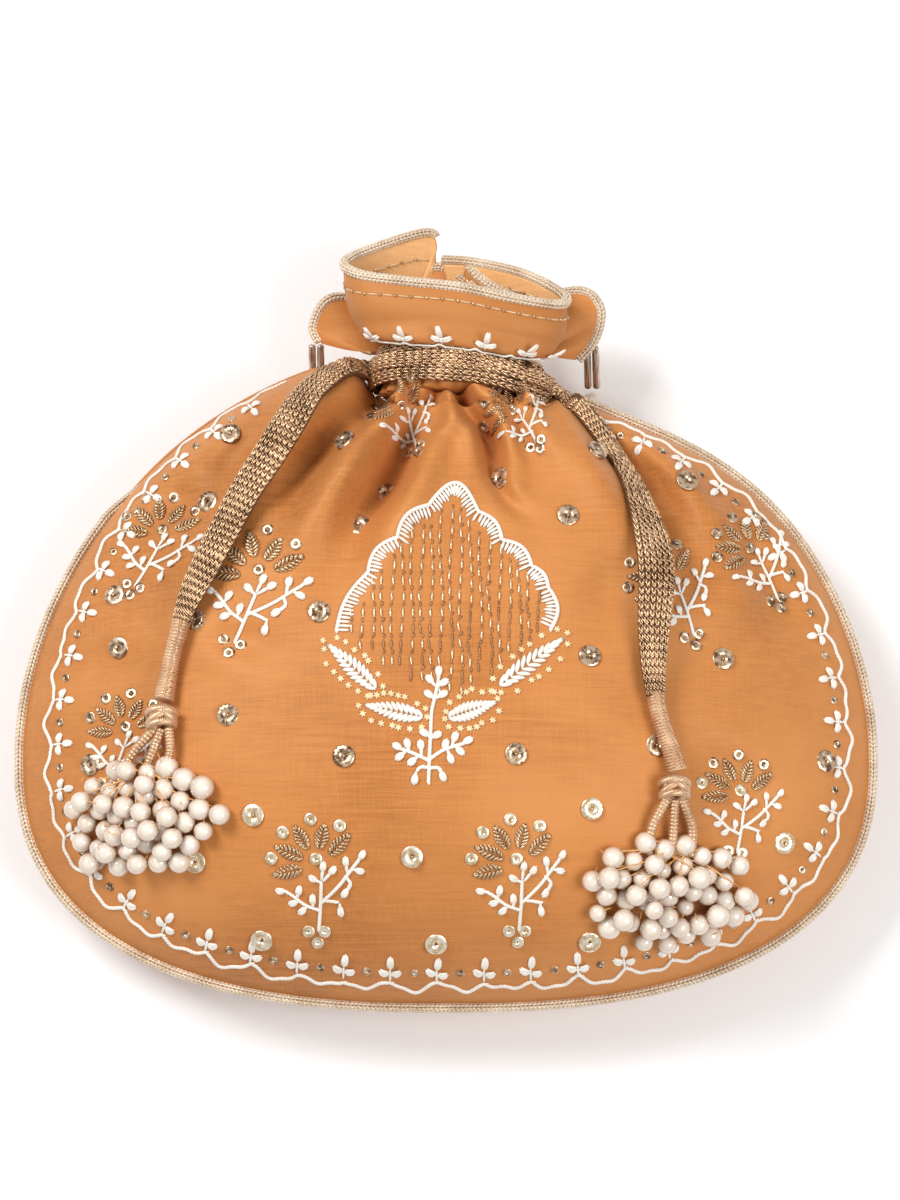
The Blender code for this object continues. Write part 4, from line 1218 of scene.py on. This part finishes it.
# a sprig grows from its root up the y axis: lengths in metres for a sprig 33 mm tall
sprig = dict(
    height=0.0330, leafWidth=0.0047,
    leaves=[((-0.0044, 0.0207), (-0.0141, 0.0187)), ((-0.0042, 0.0236), (-0.0135, 0.0272)),
            ((-0.0029, 0.0262), (-0.0074, 0.0334)),
            ((0.0003, 0.0262), (0.0022, 0.0341)), ((0.0034, 0.0245), (0.0100, 0.0311))],
    stems=[[(0.0004, 0.0030), (0.0009, 0.0095), (0.0012, 0.0168)],
           [(0.0002, 0.0087), (-0.0037, 0.0100), (-0.0075, 0.0126), (-0.0105, 0.0143)],
           [(0.0012, 0.0108), (0.0040, 0.0132), (0.0072, 0.0164), (0.0102, 0.0202), (0.0126, 0.0232)],
           [(0.0022, 0.0114), (0.0046, 0.0112), (0.0068, 0.0108)],
           [(0.0090, 0.0180), (0.0101, 0.0166), (0.0096, 0.0150)]],
    buds=[((0.0012, 0.0165), (-0.0014, 0.0178)), ((0.0012, 0.0168), (0.0017, 0.0213)),
          ((0.0014, 0.0166), (0.0046, 0.0202)),
          ((-0.0098, 0.0140), (-0.0116, 0.0142)), ((-0.0064, 0.0118), (-0.0058, 0.0142)),
          ((-0.0056, 0.0112), (-0.0076, 0.0107)),
          ((-0.0014, 0.0092), (-0.0015, 0.0117)), ((-0.0030, 0.0098), (-0.0048, 0.0084)),
          ((0.0118, 0.0222), (0.0136, 0.0248)),
          ((0.0092, 0.0190), (0.0087, 0.0228)), ((0.0106, 0.0206), (0.0130, 0.0202)),
          ((0.0098, 0.0156), (0.0084, 0.0136)),
          ((0.0068, 0.0108), (0.0072, 0.0083))],
    sequins=[(-0.0144, 0.0236), (-0.0109, 0.0313), (-0.0024, 0.0352), (0.0067, 0.0333), (-0.0005, 0.0235),
             (-0.0028, 0.0025), (0.0022, 0.0025), (0.0, -0.0007)])
# root and top of each sprig on the panel
sprigPlaces = [((-0.0369, -0.0986), (-0.0363, -0.0680)), ((0.0207, -0.0986), (0.0205, -0.0682)),
               ((-0.0621, -0.0167), (-0.0500, 0.0160)), ((0.0720, -0.0140), (0.0620, 0.0140)),
               ((-0.0925, 0.0030), (-0.0795, 0.0300)), ((0.0985, 0.0003), (0.0870, 0.0250)),
               ((-0.0985, -0.0560), (-0.0900, -0.0300)), ((0.0834, -0.0758), (0.0863, -0.0480)),
               ((-0.0080, 0.0440), (-0.0150, 0.0650)), ((0.0274, 0.0450), (0.0170, 0.0640))]
smallSequins = []


def addBuds(buds, place, size):
    for root, tip in buds:
        root, tip = place(root), place(tip)
        reach = unit(tip - root) * 0.0018 * size
        whiteStitches.append(onCloth(root, tip, 0.00115 * size, 0.0002))
        whiteStitches.extend(bud(tip - reach, reach, 0.0036 * size, 0.0021 * size))


def addSprig(root, top):
    root, up = np.array(root), np.array(top) - np.array(root)
    size = np.linalg.norm(up) / sprig["height"]
    up = unit(up)
    right = np.array([up[1], -up[0]])

    def place(points):
        points = np.atleast_2d(points)
        return root + (points[:, :1] * right + points[:, 1:] * up) * size

    for base, tip in sprig["leaves"]:
        zariStitches.extend(satinLeaf(place(base)[0], place(tip)[0], sprig["leafWidth"] * size, 8,
                                      0.00095 * size, 0.20))
    for stem in sprig["stems"]:
        path = smoothPath([(*p, 0) for p in place(stem)], 60)[:, :2]
        whiteStitches.append(stemStitch(path, 0.00115 * size ** 0.5))
    addBuds(sprig["buds"], place, size)
    smallSequins.extend(place(sprig["sequins"]))


# the scalloped arch, walked up its left side and down its right, and what grows under it
motif = dict(
    # corners where two scallops meet, and how far each scallop swells as a share of its chord
    corners=[(-0.0312, -0.0119), (-0.0223, 0.0050), (-0.0141, 0.0153), (-0.0051, 0.0255), (0.0094, 0.0240),
             (0.0162, 0.0151), (0.0247, 0.0073), (0.0294, 0.0007), (0.0299, -0.0118)],
    swells=[0.10, 0.19, 0.17, 0.58, 0.17, 0.20, 0.16, 0.19],
    comb=0.0037, combPitch=0.00128, rowPitch=0.0028, stitch=0.0033, stitchGap=0.0014,
    leaves=[((-0.0195, -0.0297), (-0.0337, -0.0160)), ((-0.0061, -0.0375), (-0.0231, -0.0339)),
            ((0.0004, -0.0378), (0.0144, -0.0331)), ((0.0148, -0.0288), (0.0337, -0.0141))],
    leafWidth=0.0056,
    stem=[(-0.0049, -0.0557), (-0.0046, -0.0480), (-0.0043, -0.0420), (-0.0040, -0.0360),
          (-0.0031, -0.0318),
          (-0.0021, -0.0272)],
    twigs=[[(-0.0051, -0.0497), (-0.0094, -0.0477), (-0.0127, -0.0465)],
           [(-0.0041, -0.0491), (-0.0005, -0.0468), (0.0052, -0.0450)],
           [(-0.0047, -0.0519), (-0.0070, -0.0517), (-0.0085, -0.0530)],
           [(-0.0040, -0.0519), (-0.0022, -0.0519), (-0.0013, -0.0531)]],
    # root of each bud and the middle of its plump end
    buds=[((-0.0022, -0.0272), (-0.0020, -0.0242)), ((-0.0028, -0.0288), (-0.0046, -0.0266)),
          ((-0.0024, -0.0288), (-0.0005, -0.0275)),
          ((-0.0033, -0.0322), (-0.0049, -0.0309)), ((-0.0029, -0.0322), (-0.0008, -0.0309)),
          ((-0.0043, -0.0432), (-0.0061, -0.0420)),
          ((-0.0043, -0.0436), (-0.0025, -0.0426)), ((-0.0124, -0.0466), (-0.0138, -0.0458)),
          ((-0.0112, -0.0472), (-0.0131, -0.0487)),
          ((-0.0104, -0.0472), (-0.0109, -0.0450)), ((-0.0078, -0.0486), (-0.0096, -0.0501)),
          ((-0.0068, -0.0488), (-0.0071, -0.0454)),
          ((0.0046, -0.0451), (0.0063, -0.0442)), ((0.0016, -0.0460), (0.0026, -0.0431)),
          ((-0.0006, -0.0470), (-0.0001, -0.0452)),
          ((0.0026, -0.0458), (0.0041, -0.0472)), ((0.0004, -0.0466), (0.0014, -0.0493)),
          ((-0.0084, -0.0528), (-0.0088, -0.0551)),
          ((-0.0014, -0.0528), (-0.0008, -0.0543))])


def archLine():
    # each scallop is a + (b - a) t + n |b - a| swell sin(pi t)
    t = np.linspace(0, 1, 60, endpoint=False)[:, None]
    corners, pieces = np.array(motif["corners"]), []
    for a, b, swell in zip(corners[:-1], corners[1:], motif["swells"]):
        chord = b - a
        pieces.append(a + chord * t + np.array([-chord[1], chord[0]]) * swell * np.sin(np.pi * t))
    return np.vstack(pieces + [corners[-1:]])


def addMotif():
    arch = archLine()
    xy, ahead = arcPlaces(arch, motif["combPitch"])
    # the comb points at the middle of the arch more than straight in from the curve
    inward = unit(-sideways(ahead) + 0.5 * unit(np.array([0.001, -0.004]) - xy))
    length = motif["comb"] * (1 + 0.14 * np.sin(np.arange(len(xy)) * 1.9))[:, None]
    whiteStitches.append(onCloth(xy, xy + inward * length, 0.00095, 0.00025))
    whiteStitches.append(stemStitch(arch, 0.00125))
    # rows of running stitch fill the arch down to the leaves, short dark stitches in their gaps
    left, right = arch[:arch[:, 1].argmax()], arch[arch[:, 1].argmax():]
    floorY = lambda x: np.where(np.abs(x) < 0.0265, -0.0345 + 0.62 * np.abs(x), -0.013)
    pitch = motif["stitch"] + motif["stitchGap"]
    for row, x in enumerate(np.arange(-0.0266, 0.0280, motif["rowPitch"])):
        edge = left if x < 0.0016 else right[::-1]
        if x < 0.0016:
            roof = np.interp(x, np.maximum.accumulate(edge[:, 0]), edge[:, 1])
        else:
            roof = np.interp(-x, -edge[:, 0], edge[:, 1])
        y = np.arange(float(floorY(x)) + (row * 0.37 % 1) * pitch, roof - 0.0080, pitch)
        sway = 0.0005 * np.sin(y * 170 + row * 1.7)
        tip = rng.normal(0, 0.00022, len(y))
        a, b = np.column_stack([x + sway, y]), np.column_stack([x + sway + tip, y + motif["stitch"]])
        bright = (y > -0.010 + 0.30 * x) | (rng.random(len(y)) > 0.6)
        paleStitches.append(onCloth(a[bright], b[bright], 0.00066, 0.0003))
        darkStitches.append(onCloth(a[~bright], b[~bright], 0.00060, 0.0002))
        c = b + np.array([0.0, 0.0002])
        short = np.column_stack([0.0004 - 2 * tip, np.full(len(y), 0.0014)])
        darkStitches.append(onCloth(c, c + short, 0.00060, 0.0001))
    for base, tip in motif["leaves"]:
        whiteStitches.extend(satinLeaf(base, tip, motif["leafWidth"], 12, 0.00135, 0.14))
        addCrosses(np.array(base), np.array(tip))
    for path in [motif["stem"]] + motif["twigs"]:
        whiteStitches.append(stemStitch(smoothPath([(*p, 0) for p in path], 60)[:, :2], 0.00115))
    addBuds(motif["buds"], np.atleast_2d, 1.0)


def addCrosses(base, tip):
    # little crosses on an oval round the leaf: middle + 0.58 spine cos t + across 4.7 mm sin t
    spine = tip - base
    across = unit(np.array([-spine[1], spine[0]]))
    t = np.linspace(0, 2 * np.pi, 16, endpoint=False)
    t = t + 0.22 * np.sin(2 * t)
    spots = 0.5 * (base + tip) + 0.58 * spine * np.cos(t)[:, None] + across * 0.0047 * np.sin(t)[:, None]
    spots += rng.normal(0, 0.0004, spots.shape)
    for lean in (30, 95, 150):
        heading = turned(np.broadcast_to(unit(spine), spots.shape), lean) * 0.00115
        crossStitches.append(onCloth(spots - heading, spots + heading, 0.00075, 0.0002))


largeSequins = np.array([
    (-0.0293, 0.0459), (-0.0180, 0.0321), (-0.0251, 0.0208), (-0.0363, -0.0064), (-0.0700, 0.0300),
    (-0.0974, 0.0028),
    (-0.0955, -0.0136), (-0.0624, -0.0357), (-0.0289, -0.0484), (0.0199, -0.0479), (-0.0096, -0.0764),
    (-0.0028, -0.0997),
    (0.0415, -0.0630), (0.0412, -0.0193), (0.0802, -0.0182), (0.0354, 0.0229), (0.0710, 0.0364),
    (0.0442, 0.0441),
    (-0.0549, -0.0644), (-0.0532, -0.0984), (0.0415, -0.0990), (0.0983, -0.0703), (0.1112, -0.0459),
    (-0.0640, 0.0515),
    (0.0164, 0.0358), (-0.1034, -0.0476), (-0.0720, -0.0768), (0.0603, -0.0444), (-0.0726, -0.0071)])


def sequinShape(places, radius, facets=28):
    # a disc of petals: height 0.11 r on odd spokes, 0.04 r on even ones, sinking to the hole
    a = np.linspace(0, 2 * np.pi, facets, endpoint=False)
    odd = np.arange(facets) % 2
    share = np.array([0.14, 0.55, 0.93, 1.0])
    high = np.stack([0 * a + 0.02, 0.04 + 0.07 * odd, 0.06 + 0.09 * odd, 0.02 + 0.04 * odd])
    normal = unit(bagNormal(places) + np.array([0.0, 0.0, 0.7]) + rng.normal(0, 0.06, (len(places), 3)))
    side = unit(np.cross(normal, np.array([0.2, 1.0, 0.1])))
    top = np.cross(normal, side)
    centre = bagPoint(places, 0.0003) + normal * (radius * 0.5 * (1 - bagNormal(places)[:, 2:]))
    turn = rng.uniform(0, 1, len(places))
    angle = a[None] + turn[:, None]
    flat = side[:, None] * np.cos(angle)[..., None] + top[:, None] * np.sin(angle)[..., None]
    points = centre[:, None, None] + flat[:, None] * (share * radius)[None, :, None, None]
    points = points + normal[:, None, None] * (high * radius)[None, :, :, None]
    under = centre[:, None, None] + flat[:, None] * (share[::-1] * radius)[None, :, None, None]
    under = under - normal[:, None, None] * 0.00022
    rings = np.concatenate([points, under], 1)
    quads = gridQuads(rings.shape[1], facets, closeRows=True, closeColumns=True)
    shift = np.arange(len(places))[:, None, None] * rings.shape[1] * facets
    return rings.reshape(-1, 3), (quads[None] + shift).reshape(-1, 4)


def sequinFinish(name, dark, light, roughness):
    # pressed foil: each facet and patch a little darker or lighter
    made, tree, shader, place = startFinish(name)
    patch = stretchedNoise(tree, place, 620.0, (1.0, 1.0, 1.0), 1.0)
    colour = mixColour(tree, spread(tree, patch, 0.36, 0.60), dark, light)
    tree.links.new(colour, shader.inputs["Base Color"])
    tree.links.new(scaledPlus(tree, patch, 0.2, roughness - 0.1), shader.inputs["Roughness"])
    shader.inputs["Metallic"].default_value = 0.75
    return made


def makeSequins(name, places, radius, finish):
    points, quads = sequinShape(places, radius)
    piece = outward(buildMesh(name, points, quads, finish, smooth=False))
    finishPiece(piece, "gold_braid")
    # the thread that holds each one: a knot in the hole and stitches out to the rim
    places = places[bagNormal(places)[:, 2] > 0.86]
    stitches = []
    for lean in (0, 120, 240):
        spot = turned(np.tile([[1.0, 0.3]], (len(places), 1)), lean) * radius
        a, b = places + spot * 0.12, places + spot * 1.02
        stitches.append((bagPoint(a, 0.0006), bagPoint(b, 0.0004), bagNormal(places), radius * 0.07,
                         radius * 0.12))
    knot = np.array([[radius * 0.10, 0.0]])
    a, b = bagPoint(places - knot, 0.0006), bagPoint(places + knot, 0.0006)
    stitches.append((a, b, bagNormal(places), radius * 0.2, radius * 0.05))
    finishPiece(makeStitches(f"{name}Thread", stitches, paleZari, sides=5), "gold_braid")


addBorder()
for rootPlace, topPlace in sprigPlaces:
    addSprig(rootPlace, topPlace)
addMotif()
zariDark = threadFinish("darkZari", (0.17, 0.075, 0.03), (0.56, 0.32, 0.16), fineThread, 900.0, 0.5, 0.42)
crossThread = threadFinish("crossThread", (0.80, 0.52, 0.24), (0.96, 0.78, 0.50), fineThread, 1200.0,
                           0.1, 0.5)
bronzeFoil = sequinFinish("bronzeFoil", (0.20, 0.11, 0.06), (0.78, 0.58, 0.40), 0.24)
paleFoil = sequinFinish("paleFoil", (0.74, 0.54, 0.32), (0.99, 0.90, 0.72), 0.26)
isHigh = largeSequins[:, 1] > -0.050
makeSequins("bronzeSequins", largeSequins[isHigh], 0.0032, bronzeFoil)
makeSequins("paleSequins", largeSequins[~isHigh], 0.0032, paleFoil)
makeSequins("borderSequins", np.array(borderSequins), 0.0012, bronzeFoil)
small = np.array(smallSequins)
makeSequins("smallBronzeSequins", small[small[:, 1] > -0.050], 0.0017, bronzeFoil)
makeSequins("smallPaleSequins", small[small[:, 1] <= -0.050], 0.0018, paleFoil)
finishPiece(makeStitches("whiteEmbroidery", whiteStitches, floss), "silk")
finishPiece(makeStitches("zariEmbroidery", zariStitches, zari), "gold_braid")
finishPiece(makeStitches("zariFilling", paleStitches, zariBright), "gold_braid")
finishPiece(makeStitches("zariShadow", darkStitches, zariDark), "gold_braid")
finishPiece(makeStitches("crossStitches", crossStitches, crossThread), "silk")
print("embroidery ready")

# the cords: each path's length is worked out here and not used further
def pathLength(path):
    return float(np.linalg.norm(np.diff(path, axis=0), axis=1).sum())


def declareCord(piece, path, extras):
    tuple(path[0])
    pathLength(path)
    [tuple(p) for p in path]
    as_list(extras)


declareCord(leftOver[0], leftOver[2], [leftOver[1]] + tasselPieces["left"])
declareCord(leftUnder[0], leftUnder[2], [leftUnder[1]])
declareCord(rightOver[0], rightOver[2], [rightOver[1]] + tasselPieces["right"])
declareCord(rightUnder[0], rightUnder[2], [rightUnder[1]])
declareCord(handleStrand, handlePath, handleBeads)

# floor and soft studio light
studio = dict(world=0.44, key=(-0.58, 0.40, 0.92), keySize=0.46, keyPower=9.8,
              fill=(0.60, -0.30, 0.95), fillSize=0.5, fillPower=6.9)


def addLight(name, spot, size, power):
    lamp = bpy.data.lights.new(name, "AREA")
    lamp.size = size
    lamp.energy = power
    made = bpy.data.objects.new(name, lamp)
    made.location = spot
    made.rotation_euler = (Vector((0, 0, 0.03)) - Vector(spot)).to_track_quat("-Z", "Y").to_euler()
    bpy.context.scene.collection.objects.link(made)


def addStudio():
    world = bpy.data.worlds.new("studio")
    world.use_nodes = True
    world.node_tree.nodes["Background"].inputs["Color"].default_value = (1.0, 1.0, 1.0, 1.0)
    world.node_tree.nodes["Background"].inputs["Strength"].default_value = studio["world"]
    bpy.context.scene.world = world
    addLight("key", studio["key"], studio["keySize"], studio["keyPower"])
    addLight("fill", studio["fill"], studio["fillSize"], studio["fillPower"])
    made, tree, shader, place = startFinish("paleFloor")
    shader.inputs["Base Color"].default_value = (0.93, 0.93, 0.93, 1.0)
    shader.inputs["Roughness"].default_value = 0.9
    corners = [(-4, -4, -0.0003), (4, -4, -0.0003), (4, 4, -0.0003), (-4, 4, -0.0003)]
    buildMesh("paleFloor", corners, [[0, 1, 2, 3]], made, smooth=False)
    bpy.context.scene.view_settings.view_transform = "Standard"


addStudio()
print("scene ready")
